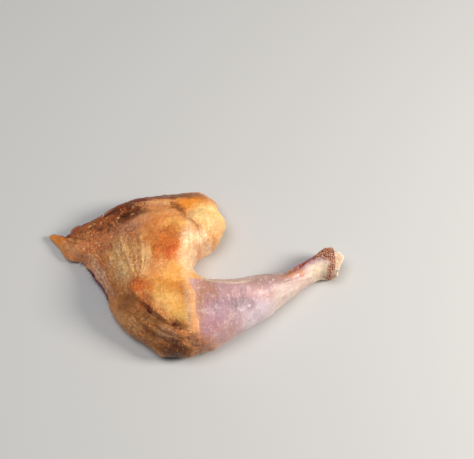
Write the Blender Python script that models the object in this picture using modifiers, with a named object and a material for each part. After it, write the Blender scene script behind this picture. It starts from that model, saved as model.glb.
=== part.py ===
"""A raw guinea fowl leg lying skin side up: thigh and drumstick in their skin, and the shank bone.

The skin and meat are one solid, lofted along the leg from the cut hip edge, round the bent knee
and out to the hock. Folds, lobes and muscles are then raised or sunk on it, and the underside is
pressed flat where the leg lies on a board. The bone runs through the drumstick, and its knuckle
shows at the cut hock. X runs along the leg towards the hock, Y away from the viewer, Z up.
"""

import math
from collections import namedtuple

import bmesh
import bpy
import numpy as np
from mathutils import Matrix, Vector, noise

MM = 0.001

# Mesh fineness
AROUND = 136  # points round each section
ALONG = 240  # sections along the leg
CURVE_STEPS = 24  # steps between two points that a smooth curve is drawn through
SKIN_TRIANGLES = 9800  # after thinning, before the bone's socket is cut
MERGE = 0.1  # points of the sewn hip edge this near each other become one, in mm

# A section of the leg. inner is the edge on the side of the knee's crook, outer is the far edge,
# both (x, y) in plan. rims are the heights of those two edges, crown is the highest point, and
# crest is where it lies between the edges, from -1 inner to 1 outer. plump is the roundness of
# the inner and the outer side: 1 is a wedge, 2 an ellipse, 3 a box with round corners. All in mm.
Section = namedtuple("Section", "inner outer rims crown crest plump")
SECTIONS = [
    Section((11, 54), (-98.5, 28), (8, 4), 17, -0.1, (2.0, 1.5)),
    Section((17, 42), (-90, 19.5), (11, 4), 24, -0.15, (2.2, 1.4)),
    Section((19.5, 30.5), (-84, 10), (12, 4.5), 28, -0.2, (2.4, 1.3)),
    Section((14, 17), (-74.5, 6), (12, 4.5), 31, -0.2, (2.3, 1.4)),
    Section((4.5, 10), (-64, -7.5), (12, 6), 32.5, -0.2, (2.3, 1.5)),
    Section((0, 3), (-56.5, -21), (13, 8), 32.5, -0.15, (2.3, 1.7)),
    Section((-1, -3.5), (-49, -35.5), (14, 9), 32, -0.1, (2.3, 1.9)),
    Section((2, -7.5), (-33.5, -51.5), (14, 10), 31, -0.1, (2.2, 2.0)),
    Section((5.5, -10), (-11.5, -62.5), (15, 12), 31, -0.1, (2.1, 2.0)),
    Section((13, -12), (10, -57.5), (15, 14), 32, 0, (2.1, 2.0)),
    Section((26, -12), (28, -47.5), (16, 15), 32, 0, (2.0, 2.0)),
    Section((42, -8.5), (45.5, -33.5), (15, 14), 28, 0, (2.0, 2.0)),
    Section((57.5, -4.5), (61.5, -20.5), (11, 11), 21, 0, (2.0, 2.0)),
    Section((69, 3), (71.5, -11.5), (9, 9), 17.5, 0, (2.1, 2.1)),
    Section((80, 9.5), (82, -5), (9.5, 9), 18.5, 0, (2.2, 2.2)),
    Section((85.5, 13.5), (88, -5.5), (10.5, 10), 20, 0, (2.3, 2.3)),
    Section((91, 14), (91.5, -4), (10, 10), 19.5, 0, (2.3, 2.3)),
]
OUTER_WEIGHT = 0.65  # sections are spaced evenly along a line this far from inner to outer edge
UNDERSIDE_PLUMP = 3.6  # the underside is flatter than the top
SETTLE = 0.8  # how far the leg's weight presses its underside flat
FLAT_WITHIN = 0.05  # after thinning, points this near the board are put back on it

# The cut edge at the hip, from the crook side to the pointed flap, in plan
HIP_EDGE = [
    (11, 54), (-1, 58.5), (-18, 56.5), (-31.5, 54.5), (-43.5, 52),
    (-57, 45), (-70, 37.5), (-82, 31), (-88, 27.5), (-94, 30.5), (-98.5, 28),
]
HIP_BOW_ENDS = 5.0  # the section at which the hip edge's curve has faded out
HIP_ROUND = (13, 5)  # how far in from the cut edge the leg is full thickness, inner and outer end

# A fold in the skin: its path in plan, and its depth. Seen from its first point to its last, the
# skin on the left rises to a lip, drops steeply over a short width, and comes up again on the
# right over a longer slope. A negative depth makes a ridge.
Fold = namedtuple("Fold", "path width slope depth lip")
FOLD_FADE = 0.25  # share of a fold's length over which each of its ends fades out
LIP_PLACE, LIP_WIDTH = 2.0, 1.8  # where the lip's crest lies and its half-width, in fold widths
FOLDS = [
    # round the flank lobe, from the hip edge down to the crook
    Fold([(-12, 42), (-9, 32), (-3, 26), (1.5, 21), (4, 15), (3, 9)], 1.4, 3.5, 1.6, 0.8),
    # under the roll of skin at the hip edge
    Fold([(-62, 33), (-48, 38), (-37, 38.5), (-20, 41), (-9, 37)], 1.6, 6.0, 1.5, 0.8),
    # above the knee, with the thigh's fat hanging over it
    Fold([(-43, -19), (-37, -29), (-27, -39), (-20, -45), (-9, -49)], 1.3, 5.0, 2.6, 1.8),
    # two creases across the knee lobe
    Fold([(-34, -46), (-24, -52.5), (-13, -58), (1, -60)], 1.4, 3.5, 1.6, 1.0),
    Fold([(-27, -47), (-17, -52.5), (-7, -56), (3, -57)], 1.3, 3.0, 1.2, 0.7),
    # skin draped down the outer thigh
    Fold([(-54, 26), (-51, 10), (-47, -5), (-43, -17), (-38, -26)], 1.6, 4.5, 0.8, 0.4),
    Fold([(-63, 22), (-59, 8), (-54, -6), (-46, -19)], 1.8, 4.5, 0.6, 0.4),
    # base of the pointed flap
    Fold([(-80, 16), (-84, 22), (-87, 31)], 1.4, 4.0, 1.2, 0.6),
    # where the thigh's thick skin steps down to the drumstick's thin skin
    Fold([(5.5, -60), (4, -50), (2, -38), (2, -28), (-1, -14)], 1.4, 7.0, 0.7, 0.7),
    # ridge of skin drawn tight along the drumstick
    Fold([(0, -10), (6, -14), (12, -19.5), (18, -21.5), (27, -24), (36, -21)], 1.2, 1.2, -0.8, 0),
    # tendon above the shank
    Fold([(50, -12), (59, -6.5), (66, -2.5), (72, 1)], 1.6, 2.6, 1.1, 0.5),
]

# A muscle or a pad of fat under the skin, or a hollow where the height is negative:
# centre and half-sizes in plan, the turn of its long side from X in degrees, and its height
Swell = namedtuple("Swell", "centre radii turn height")
SWELLS = [
    Swell((9, 29), (10, 16), 105, 2.2),  # flank lobe
    Swell((-7.5, 0), (9, 24), 0, 1.9),  # thigh bone's ridge beside the crook
    Swell((-39, 4), (20, 17), 60, 1.0),  # outer thigh muscle
    Swell((-57, 28), (15, 8), 25, -1.6),  # hollow below the hip roll
    Swell((-20, -34), (16, 8), -40, 2.0),  # pad of fat hanging over the knee
    Swell((-28, -52), (15, 6), -35, -0.8),  # the knee lobe lies lower
    Swell((9, -36), (7, 18), 5, -1.2),  # hollow between thigh and calf
    Swell((30, -34), (9, 5.5), 20, -0.8),  # hollow on the calf
    Swell((24, -44), (20, 7.5), 25, 1.2),  # calf muscle
    Swell((85.5, 8.5), (5.5, 5.5), 0, 0.8),  # hock, crook side
    Swell((85.5, -4.5), (5, 5), 0, 0.6),  # hock, outer side
]

# Bare meat under the thigh, where the leg was cut from the body: an oval that the skin's edge
# frames, sunk by the skin's thickness
BARE_CENTRE = (-39, 2)
BARE_RADII = (36, 24)
BARE_TURN = 38
SKIN_EDGE = 1.6
SKIN_EDGE_WIDTH = 0.12  # how much of the oval the step takes

# How steeply up or down the skin has to face for the folds above and the bare meat below
TOP_FROM, TOP_OVER = -0.15, 0.5
UNDER_OVER = 0.4

UNEVEN_HEIGHT = 0.5  # slow unevenness of the skin
UNEVEN_SPACING = 16

# Shank bone: its axis runs from the knuckle back into the knee
HOCK = (88, 4, 9.3)
KNEE = (4, -35, 14)
SHAFT_RADIUS_HOCK = 3.4
SHAFT_RADIUS_KNEE = 4.1
# The knuckle's two ends, each (centre, half-sizes), and how square they are: 1 is an ellipsoid
CONDYLES = [
    ((90.5, 6.6, 9.6), (7.5, 5.8, 7.4)),
    ((88.0, 0.4, 9.2), (7.0, 5.2, 7.0)),
]
CONDYLE_POWER = 0.8
BONE_SIDES = 20
BALL_SIDES = 24
BONE_VOXEL = 1.1
BONE_TRIANGLES = 1500
SOCKET_GAP = 0.4


def material(name, colour, roughness):
    """A Principled BSDF of one colour."""
    made = bpy.data.materials.new(name)
    made.use_nodes = True
    shader = made.node_tree.nodes["Principled BSDF"]
    shader.inputs["Base Color"].default_value = (*colour, 1)
    shader.inputs["Roughness"].default_value = roughness
    shader.inputs["Metallic"].default_value = 0
    return made


def smooth(value):
    """Eases 0 to 1, flat at both ends."""
    value = np.clip(value, 0, 1)
    return value * value * (3 - 2 * value)


def through(rows, steps):
    """A Catmull-Rom curve through the rows, with that many steps between each two."""
    rows = np.array(rows, float)
    ends = np.vstack([2 * rows[0] - rows[1], rows, 2 * rows[-1] - rows[-2]])
    t = np.linspace(0, 1, steps, endpoint=False)[:, None]
    spans = [
        0.5 * (
            2 * b + (c - a) * t + (2 * a - 5 * b + 4 * c - d) * t**2 + (3 * b - a - 3 * c + d) * t**3
        )
        for a, b, c, d in zip(ends, ends[1:], ends[2:], ends[3:])
    ]
    return np.vstack([*spans, rows[-1:]])


def evenly(rows, places, lengths):
    """The rows read at the given places along their running lengths."""
    return np.array([np.interp(places, lengths, column) for column in rows.T]).T


def resampled(rows, guide, count):
    """The rows at count places, evenly spaced along the guide curve."""
    steps = np.linalg.norm(np.diff(guide, axis=0), axis=1)
    lengths = np.concatenate([[0], np.cumsum(steps)])
    return evenly(rows, np.linspace(0, lengths[-1], count), lengths)


def section_rows():
    """The sections as rows of numbers, drawn out to ALONG smooth steps. The last column counts sections."""
    table = [
        [*s.inner, *s.outer, *s.rims, s.crown, s.crest, *s.plump, index]
        for index, s in enumerate(SECTIONS)
    ]
    rows = through(table, CURVE_STEPS)
    middle = rows[:, 0:2] * (1 - OUTER_WEIGHT) + rows[:, 2:4] * OUTER_WEIGHT
    return resampled(rows, middle, ALONG)


def hip_bow():
    """How far the hip edge bulges from a straight cut, from the inner end to the outer."""
    edge = through(HIP_EDGE, CURVE_STEPS)
    edge = resampled(edge, edge, AROUND // 2)
    share = np.linspace(0, 1, len(edge))[:, None]
    return edge - (edge[0] * (1 - share) + edge[-1] * share)


def loft():
    """Rings of points along the leg, as an array of ALONG x AROUND x 3, in mm."""
    turn = np.linspace(0, 2 * math.pi, AROUND, endpoint=False)
    cosine, sine = np.cos(turn), np.sin(turn)
    bow = hip_bow()
    shares = np.linspace(0, 1, len(bow))
    hip = np.array([*SECTIONS[0].inner, *SECTIONS[0].outer])
    rings = []
    for row in section_rows():
        inner, outer = row[0:2], row[2:4]
        rim_in, rim_out, crown, crest, plump_in, plump_out, index = row[4:]
        plump = np.where(cosine < 0, plump_in, plump_out)
        plump = np.where(sine < 0, UNDERSIDE_PLUMP, plump)
        across = np.sign(cosine) * np.abs(cosine) ** (2 / plump)
        rise = np.abs(sine) ** (2 / plump)
        share = (across + 1) / 2
        rim = rim_in * (1 - share) + rim_out * share
        from_hip = np.linalg.norm(row[0:4] - hip) / math.sqrt(2)
        rounding = HIP_ROUND[0] * (1 - share) + HIP_ROUND[1] * share
        thick = np.sqrt(1 - (1 - np.minimum(from_hip / rounding, 1)) ** 2)
        height = np.where(sine >= 0, rim + (crown - rim) * rise * thick, rim - rim * rise * thick)
        shifted = np.clip((across + crest * (1 - across**2) + 1) / 2, 0, 1)[:, None]
        plan = inner * (1 - shifted) + outer * shifted
        fade = 1 - smooth(index / HIP_BOW_ENDS)
        plan = plan + fade * evenly(bow, shifted[:, 0], shares)
        rings.append(np.column_stack([plan, height]))
    return np.array(rings)


def polyline_distance(points, path):
    """Each point's distance to the path, its side (positive on the left), and how far along it is, 0 to 1."""
    best = np.full(len(points), 1e9)
    side = np.zeros(len(points))
    along = np.zeros(len(points))
    for index, (a, b) in enumerate(zip(path, path[1:])):
        run = b - a
        share = np.clip(((points - a) @ run) / (run @ run), 0, 1)
        away = points - (a + share[:, None] * run)
        distance = np.linalg.norm(away, axis=1)
        nearer = distance < best
        best[nearer] = distance[nearer]
        side[nearer] = (run[0] * away[:, 1] - run[1] * away[:, 0])[nearer]
        along[nearer] = (index + share[nearer]) / (len(path) - 1)
    return best, np.sign(side), along


def fold_height(points, fold):
    path = through(fold.path, CURVE_STEPS // 3)
    distance, side, along = polyline_distance(points, path)
    ends = smooth(along / FOLD_FADE) * smooth((1 - along) / FOLD_FADE)
    across = np.where(side > 0, distance / fold.width, distance / fold.slope)
    sunk = -fold.depth * np.exp(-(across**2))
    off_lip = (side * distance / fold.width - LIP_PLACE) / LIP_WIDTH
    return ends * (sunk + fold.lip * np.exp(-(off_lip**2)))


def oval(points, centre, radii, turn):
    """How far each point lies from an oval's centre, where 1 is on its edge."""
    angle = math.radians(turn)
    away = points - np.array(centre)
    long_way = away @ [math.cos(angle), math.sin(angle)]
    short_way = away @ [-math.sin(angle), math.cos(angle)]
    return np.hypot(long_way / radii[0], short_way / radii[1])


def swell_height(points, swell):
    distance = oval(points, swell.centre, swell.radii, swell.turn)
    return swell.height * np.exp(-(distance**2))


def uneven(points):
    """Slow unevenness, the same each run."""
    return np.array([noise.noise(Vector(p) / UNEVEN_SPACING) for p in points]) * UNEVEN_HEIGHT


def mesh_from_rings(rings):
    """A closed mesh from the lofted rings: the hip edge is sewn shut and the hock gets a cap."""
    mesh = bmesh.new()
    loops = [[mesh.verts.new(point * MM) for point in ring] for ring in rings]
    for first, second in zip(loops, loops[1:]):
        for index in range(AROUND):
            after = (index + 1) % AROUND
            mesh.faces.new([first[index], first[after], second[after], second[index]])
    mesh.faces.new(loops[-1])
    bmesh.ops.remove_doubles(mesh, verts=loops[0], dist=MERGE * MM)
    bmesh.ops.dissolve_degenerate(mesh, dist=MERGE / 5 * MM, edges=mesh.edges)
    bmesh.ops.holes_fill(mesh, edges=[edge for edge in mesh.edges if edge.is_boundary])
    bmesh.ops.triangulate(mesh, faces=mesh.faces)
    bmesh.ops.recalc_face_normals(mesh, faces=mesh.faces)
    return mesh


def sculpt(mesh):
    """Raises and sinks the folds, muscles and bare meat, and presses the underside flat."""
    mesh.normal_update()
    points = np.array([vertex.co for vertex in mesh.verts]) / MM
    normals = np.array([vertex.normal for vertex in mesh.verts])
    plan = points[:, :2]
    top = smooth((normals[:, 2] - TOP_FROM) / TOP_OVER)
    height = sum(fold_height(plan, fold) for fold in FOLDS)
    height = height + sum(swell_height(plan, swell) for swell in SWELLS)
    under = smooth(-normals[:, 2] / UNDER_OVER)
    bare = smooth((1 - oval(plan, BARE_CENTRE, BARE_RADII, BARE_TURN)) / SKIN_EDGE_WIDTH)
    change = top * height + uneven(points) - SKIN_EDGE * bare * under
    points = points + normals * change[:, None]
    points[:, 2] = np.maximum(points[:, 2] - SETTLE, 0)
    for vertex, point in zip(mesh.verts, points * MM):
        vertex.co = point


def as_object(name, mesh, collection):
    data = bpy.data.meshes.new(name)
    mesh.to_mesh(data)
    mesh.free()
    made = bpy.data.objects.new(name, data)
    collection.objects.link(made)
    return made


def apply_modifiers(target):
    """Turns the object's mesh into what its modifiers make of it."""
    graph = bpy.context.evaluated_depsgraph_get()
    result = bpy.data.meshes.new_from_object(target.evaluated_get(graph))
    target.modifiers.clear()
    target.data = result


def thin_to(target, triangles):
    """Thins the mesh to about that many triangles, keeping its shape."""
    modifier = target.modifiers.new("thin", "DECIMATE")
    target.data.calc_loop_triangles()
    modifier.ratio = triangles / len(target.data.loop_triangles)
    modifier.use_collapse_triangulate = True
    apply_modifiers(target)


def leg(collection):
    mesh = mesh_from_rings(loft())
    sculpt(mesh)
    made = as_object("leg", mesh, collection)
    thin_to(made, SKIN_TRIANGLES)
    for vertex in made.data.vertices:
        if vertex.co.z < FLAT_WITHIN * MM:
            vertex.co.z = 0
    return made


def bone(collection):
    """The shank bone: a tapered shaft with a knuckle of two rounded ends, joined into one solid."""
    mesh = bmesh.new()
    hock, knee = Vector(HOCK) * MM, Vector(KNEE) * MM
    shaft = bmesh.ops.create_cone(
        mesh,
        cap_ends=True,
        segments=BONE_SIDES,
        radius1=SHAFT_RADIUS_KNEE * MM,
        radius2=SHAFT_RADIUS_HOCK * MM,
        depth=(hock - knee).length,
    )
    turn = (hock - knee).to_track_quat("Z", "Y").to_matrix()
    bmesh.ops.rotate(mesh, verts=shaft["verts"], cent=(0, 0, 0), matrix=turn)
    bmesh.ops.translate(mesh, verts=shaft["verts"], vec=(hock + knee) / 2)
    for centre, radii in CONDYLES:
        ball = bmesh.ops.create_uvsphere(
            mesh, u_segments=BALL_SIDES, v_segments=BALL_SIDES * 2 // 3, radius=1
        )
        for vertex in ball["verts"]:
            squared = [math.copysign(abs(value) ** CONDYLE_POWER, value) for value in vertex.co]
            vertex.co = squared
        bmesh.ops.scale(mesh, verts=ball["verts"], vec=Vector(radii) * MM)
        bmesh.ops.translate(mesh, verts=ball["verts"], vec=Vector(centre) * MM)
    made = as_object("bone", mesh, collection)
    remesh = made.modifiers.new("join", "REMESH")
    remesh.mode = "VOXEL"
    remesh.voxel_size = BONE_VOXEL * MM
    soften = made.modifiers.new("soften", "SMOOTH")
    soften.iterations = 3
    apply_modifiers(made)
    thin_to(made, BONE_TRIANGLES)
    return made


def cut_socket(target, plug, cutters):
    """Cuts the plug's shape, a little larger, out of the target."""
    cutter = bpy.data.objects.new("bone_cutter", plug.data)
    cutters.objects.link(cutter)
    cutter.hide_render = True
    cutter.display_type = "WIRE"
    wider = cutter.modifiers.new("gap", "DISPLACE")
    wider.mid_level = 0
    wider.strength = SOCKET_GAP * MM
    cut = target.modifiers.new("socket", "BOOLEAN")
    cut.operation = "DIFFERENCE"
    cut.object = cutter


def stand_on_origin(parts):
    """Moves the meshes so that the origin is under the middle of the whole, where it stands."""
    corners = [vertex.co for part in parts for vertex in part.data.vertices]
    lowest = Vector([min(corner[axis] for corner in corners) for axis in range(3)])
    highest = Vector([max(corner[axis] for corner in corners) for axis in range(3)])
    middle = (lowest + highest) / 2
    for part in parts:
        part.data.transform(Matrix.Translation((-middle.x, -middle.y, -lowest.z)))


def main():
    for old in list(bpy.data.objects):
        bpy.data.objects.remove(old)
    parts = bpy.data.collections.new("guinea_fowl_leg")
    cutters = bpy.data.collections.new("cutters")
    for collection in (parts, cutters):
        bpy.context.scene.collection.children.link(collection)
    skin = leg(parts)
    shank = bone(parts)
    stand_on_origin([skin, shank])
    cut_socket(skin, shank, cutters)
    skin.data.materials.append(material("skin", (0.72, 0.47, 0.30), 0.4))
    shank.data.materials.append(material("cartilage", (0.80, 0.72, 0.62), 0.35))
    for part in (skin, shank):
        part.data.shade_smooth()


main()
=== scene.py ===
# %% [markdown]
# # A raw guinea fowl leg
#
# The leg lies skin side up on a table: a broad thigh in loose, fatty yellow skin, a bent knee, a
# slim drumstick in thin mauve skin, and a scaly hock where the foot was cut off, with the knuckle
# of the shank bone showing. The solids in the frame give its place and its size. This lesson
# dresses them: it makes the colours and the wet shine of the skin, then models the folds, the
# goose flesh, the knuckle and the scales that wear them.

# %% Load the frame
import math
import random
from collections import namedtuple

import bmesh
import bpy
import numpy as np
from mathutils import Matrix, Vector, noise


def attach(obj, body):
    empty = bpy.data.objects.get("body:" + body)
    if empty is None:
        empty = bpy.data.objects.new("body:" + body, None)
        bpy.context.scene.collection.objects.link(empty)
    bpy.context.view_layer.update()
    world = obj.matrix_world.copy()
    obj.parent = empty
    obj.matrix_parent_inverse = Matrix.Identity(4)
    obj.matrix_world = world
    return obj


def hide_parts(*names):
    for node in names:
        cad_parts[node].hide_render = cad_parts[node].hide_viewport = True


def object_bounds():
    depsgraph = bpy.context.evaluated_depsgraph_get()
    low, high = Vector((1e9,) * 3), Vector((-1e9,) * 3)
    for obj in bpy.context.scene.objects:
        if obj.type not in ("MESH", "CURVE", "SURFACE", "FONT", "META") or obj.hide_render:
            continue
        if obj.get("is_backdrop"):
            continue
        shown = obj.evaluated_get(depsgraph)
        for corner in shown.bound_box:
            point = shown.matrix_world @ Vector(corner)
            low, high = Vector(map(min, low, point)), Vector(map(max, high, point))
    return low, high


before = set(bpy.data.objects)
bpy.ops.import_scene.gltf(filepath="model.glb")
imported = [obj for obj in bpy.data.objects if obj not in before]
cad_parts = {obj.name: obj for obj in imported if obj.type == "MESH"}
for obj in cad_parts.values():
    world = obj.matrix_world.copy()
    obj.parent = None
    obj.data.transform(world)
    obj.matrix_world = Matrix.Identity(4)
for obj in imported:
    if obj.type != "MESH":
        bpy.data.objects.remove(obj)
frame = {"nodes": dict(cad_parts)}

MM = 0.001
cad_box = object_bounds()
print("solids:", ", ".join(frame["nodes"]))
print("box in mm:", [[round(value / MM, 1) for value in corner] for corner in cad_box])

# %% [markdown]
# ## The table, the light and the camera
#
# The leg is seen from the front and well above, at 60 degrees, so the camera needs no shift. A
# large lamp to the right and in front shows the folds with soft shadows on their left. Grey air
# all round fills those shadows. The floor is plain and pale, so it throws a little light back up.
# A spot lamp would be simpler, but its hard shadows hide the colours of the skin.

# %% Floor and air
def hue(red, green, blue):
    """A colour as on a paint chart, 0 to 255, as the linear values that shaders take."""
    share = np.array([red, green, blue]) / 255
    linear = np.where(share > 0.04045, ((share + 0.055) / 1.055) ** 2.4, share / 12.92)
    return (*linear.tolist(), 1.0)


def new_finish(name):
    """A material with nodes, and its tree."""
    finish = bpy.data.materials.new(name)
    finish.use_nodes = True
    return finish, finish.node_tree


FLOOR_SIDE = 6.0
scene = bpy.context.scene
scene.view_settings.view_transform = "Standard"

floor_mesh = bpy.data.meshes.new("floor")
half = FLOOR_SIDE / 2
corners = [(-half, -half, 0), (half, -half, 0), (half, half, 0), (-half, half, 0)]
floor_mesh.from_pydata(corners, [], [(0, 1, 2, 3)])
floor = bpy.data.objects.new("floor", floor_mesh)
scene.collection.objects.link(floor)
floor_finish, floor_tree = new_finish("pale_floor")
floor_shader = floor_tree.nodes["Principled BSDF"]
floor_shader.inputs["Base Color"].default_value = hue(197, 196, 194)
floor_shader.inputs["Roughness"].default_value = 0.8
floor_mesh.materials.append(floor_finish)
floor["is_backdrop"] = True

scene.world = bpy.data.worlds.new("air")
scene.world.use_nodes = True
air = scene.world.node_tree.nodes["Background"]
air.inputs["Color"].default_value = hue(238, 242, 248)
air.inputs["Strength"].default_value = 0.18
print("floor", FLOOR_SIDE, "m across")

# %% Lamps
Lamp = namedtuple("Lamp", "name place aim size power colour")
LAMPS = [
    Lamp("key", (0.80, -0.06, 0.54), (0, 0, 0.01), 0.34, 9.2, hue(255, 250, 241)),
    Lamp("top", (-0.25, -0.02, 1.05), (0, 0, 0.01), 0.70, 6.2, hue(250, 250, 252)),
]
for lamp in LAMPS:
    light = bpy.data.lights.new(lamp.name, "AREA")
    light.shape = "DISK"
    light.size = lamp.size
    light.energy = lamp.power
    light.color = lamp.colour[:3]
    held = bpy.data.objects.new(lamp.name, light)
    held.location = lamp.place
    held.rotation_mode = "QUATERNION"
    towards = Vector(lamp.aim) - Vector(lamp.place)
    held.rotation_quaternion = towards.to_track_quat("-Z", "Y")
    scene.collection.objects.link(held)
print(len(LAMPS), "lamps")

# %% Camera
IMAGE_WIDTH = 474  # pixels
PIXEL = 0.6696  # mm of the leg to a pixel
CAMERA_AIM = (28.28, 37.16, 0.0)
CAMERA_AWAY = 883.5
CAMERA_HEIGHT = 60  # degrees above the table

rise = math.radians(CAMERA_HEIGHT)
camera = bpy.data.objects.new("camera", bpy.data.cameras.new("camera"))
back = Vector((0, -math.cos(rise), math.sin(rise)))
camera.location = (Vector(CAMERA_AIM) + back * CAMERA_AWAY) * MM
camera.rotation_euler = (math.pi / 2 - rise, 0, 0)
camera.data.lens = camera.data.sensor_width * CAMERA_AWAY / (IMAGE_WIDTH * PIXEL)
camera.data.clip_start = 0.01
scene.collection.objects.link(camera)
scene.camera = camera
print("lens", round(camera.data.lens, 1), "mm")

# %% [markdown]
# ## Small tools for node trees
#
# A finish is a tree of nodes, and one node at a time takes many lines. `add` makes a node and
# fills its sockets: a plain value is set, and another node's output is linked. The helpers after
# it stand for the steps that come back all the time: a sum, a mix of two colours, a noise, and a
# group of nodes that several finishes use.

# %% Node helpers
def fill(tree, node, sockets):
    """Fills inputs by name or number: a value is set, and another node's output is linked."""
    for key, value in dict(sockets).items():
        if isinstance(value, bpy.types.NodeSocket):
            tree.links.new(value, node.inputs[key])
        else:
            node.inputs[key].default_value = value


def spaced(values):
    """The values, with a space for each _ in their names."""
    return {name.replace("_", " "): value for name, value in values.items()}


def add(tree, kind, sockets=(), **settings):
    """A new node with these settings, and these values and links on its inputs."""
    node = tree.nodes.new(kind)
    for key, value in settings.items():
        setattr(node, key, value)
    fill(tree, node, sockets)
    return node


def sum_up(tree, operation, *values, clamp=False):
    sockets = dict(enumerate(values))
    return add(tree, "ShaderNodeMath", sockets, operation=operation, use_clamp=clamp).outputs[0]


def times(tree, first, second):
    return sum_up(tree, "MULTIPLY", first, second)


def vector_sum(tree, operation, first, second):
    """A sum of vectors. Its second part is a plain number where the operation is SCALE."""
    sockets = {0: first, "Scale" if operation == "SCALE" else 1: second}
    node = add(tree, "ShaderNodeVectorMath", sockets, operation=operation)
    return node.outputs["Value" if operation == "DOT_PRODUCT" else "Vector"]


def mixed(tree, share, first, second, blend="MIX"):
    """Colour first, turned towards colour second by share."""
    sockets = {0: share, 6: first, 7: second}
    node = add(tree, "ShaderNodeMix", sockets, data_type="RGBA", blend_type=blend)
    return node.outputs[2]


def ranged(tree, value, low, high, to_low=0.0, to_high=1.0, curve="SMOOTHSTEP"):
    """The value, from its range low to high, put in the range to_low to to_high."""
    sockets = {0: value, 1: low, 2: high, 3: to_low, 4: to_high}
    return add(tree, "ShaderNodeMapRange", sockets, interpolation_type=curve).outputs[0]


def clouds(tree, place, spacing, detail=2.0, rough=0.5):
    """Noise with lumps about that many mm apart."""
    scale = sum_up(tree, "DIVIDE", 1.0, spacing)
    sockets = {"Vector": place, "Scale": scale, "Detail": detail, "Roughness": rough}
    return add(tree, "ShaderNodeTexNoise", sockets).outputs


def cells(tree, place, spacing, randomness=1.0):
    """Cells about that many mm across: the distance from each middle, and a random colour."""
    scale = sum_up(tree, "DIVIDE", 1.0, spacing)
    sockets = {"Vector": place, "Scale": scale, "Randomness": randomness}
    return add(tree, "ShaderNodeTexVoronoi", sockets, feature="F1").outputs


print("node helpers ready")

# %% Group helpers
COLOUR, VALUE, VECTOR = "NodeSocketColor", "NodeSocketFloat", "NodeSocketVector"
KINDS = {"ShaderNodeTree": "ShaderNodeGroup", "GeometryNodeTree": "GeometryNodeGroup"}


def new_group(name, inputs, outputs, kind="ShaderNodeTree"):
    """An empty node group: its tree, the outputs of its entry and the inputs of its exit."""
    tree = bpy.data.node_groups.new(name, kind)
    for label, socket_type, value in inputs:
        socket = tree.interface.new_socket(label, in_out="INPUT", socket_type=socket_type)
        if value is not None:
            socket.default_value = value
    for label, socket_type in outputs:
        tree.interface.new_socket(label, in_out="OUTPUT", socket_type=socket_type)
    entry = tree.nodes.new("NodeGroupInput").outputs
    leave = tree.nodes.new("NodeGroupOutput").inputs
    return tree, entry, leave


def give(tree, leave, **results):
    """Links the results to the group's exit."""
    for label, result in results.items():
        tree.links.new(result, leave[label])
    print("group", tree.name, "gives", ", ".join(results))


def use(tree, group, **sockets):
    """Places a node group and returns its outputs. A socket's name has _ for each space."""
    return add(tree, KINDS[tree.bl_idname], spaced(sockets), node_tree=group).outputs


print("group helpers ready")

# %% [markdown]
# ## Where a pattern sits: `place`
#
# Every pattern reads the piece's own Object coordinates, so it stays put when the camera moves.
# This group turns metres into millimetres and pushes the points about a little with two sizes of
# noise. A zone drawn on pushed points gets an edge that wanders, as colours in flesh do.

# %% Group: place
NOISE_MIDDLE = 0.5

place_group, entry, leave = new_group(
    "place",
    [("Wander", VALUE, 3.0), ("Wander spacing", VALUE, 9.0)],
    [("Even", VECTOR), ("Pushed", VECTOR)],
)
source = add(place_group, "ShaderNodeTexCoord").outputs["Object"]
even = vector_sum(place_group, "SCALE", source, 1 / MM)
cloud = clouds(place_group, even, entry["Wander spacing"], 3.0, 0.6)["Color"]
centred = vector_sum(place_group, "SUBTRACT", cloud, (NOISE_MIDDLE,) * 3)
push = vector_sum(place_group, "SCALE", centred, times(place_group, entry["Wander"], 2.0))
pushed = vector_sum(place_group, "ADD", even, push)
give(place_group, leave, Even=even, Pushed=pushed)

# %% [markdown]
# ## Zones of colour
#
# Fowl skin is not one colour. Fat shows yellow, blood shows red, meat under thin skin shows
# mauve. One image could hold all of that, but it would be tied to one picture. Here each zone is
# an oval with a soft edge, laid over the ones before it, so any zone can be moved or dropped.

# %% Group: zone
ZONE_ENDS, ZONE_FULL = 1.35, 0.45  # how far from its centre, as shares of its radii

zone_group, entry, leave = new_group(
    "zone",
    [
        ("Place", VECTOR, None),
        ("Below", COLOUR, None),
        ("Tint", COLOUR, None),
        ("Centre", VECTOR, (0, 0, 0)),
        ("Along", VECTOR, (0.1, 0, 0)),
        ("Across", VECTOR, (0, 0.1, 0)),
        ("Strength", VALUE, 1.0),
    ],
    [("Colour", COLOUR)],
)
offset = vector_sum(zone_group, "SUBTRACT", entry["Place"], entry["Centre"])
along = vector_sum(zone_group, "DOT_PRODUCT", offset, entry["Along"])
across = vector_sum(zone_group, "DOT_PRODUCT", offset, entry["Across"])
far = times(zone_group, along, along)
far = sum_up(zone_group, "SQRT", sum_up(zone_group, "MULTIPLY_ADD", across, across, far))
share = times(zone_group, ranged(zone_group, far, ZONE_ENDS, ZONE_FULL), entry["Strength"])
give(zone_group, leave, Colour=mixed(zone_group, share, entry["Below"], entry["Tint"]))

# %% [markdown]
# ## Marks that several finishes share
#
# - `mottle`: soft lumps of fat and blood, at three sizes.
# - `stipple`: small dark flecks, the pigment of the plucked feathers.
# - `dabs`: loose round spots, each its own size, on a share of the places where they could be.
# - `pores`: tiny round dimples with a pale rim.
# - `crinkle`: fine creases, drawn where noise passes through its middle value.
# - `moisture`: how wet the surface is, from film to dull patches.

# %% Group: mottle
MOTTLE = {  # the size of the lumps as a share of the spacing, and the part of the noise used
    "Broad": (1.0, 0.34, 0.66),
    "Middle": (0.4, 0.34, 0.66),
    "Fine": (0.16, 0.38, 0.62),
}

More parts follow.
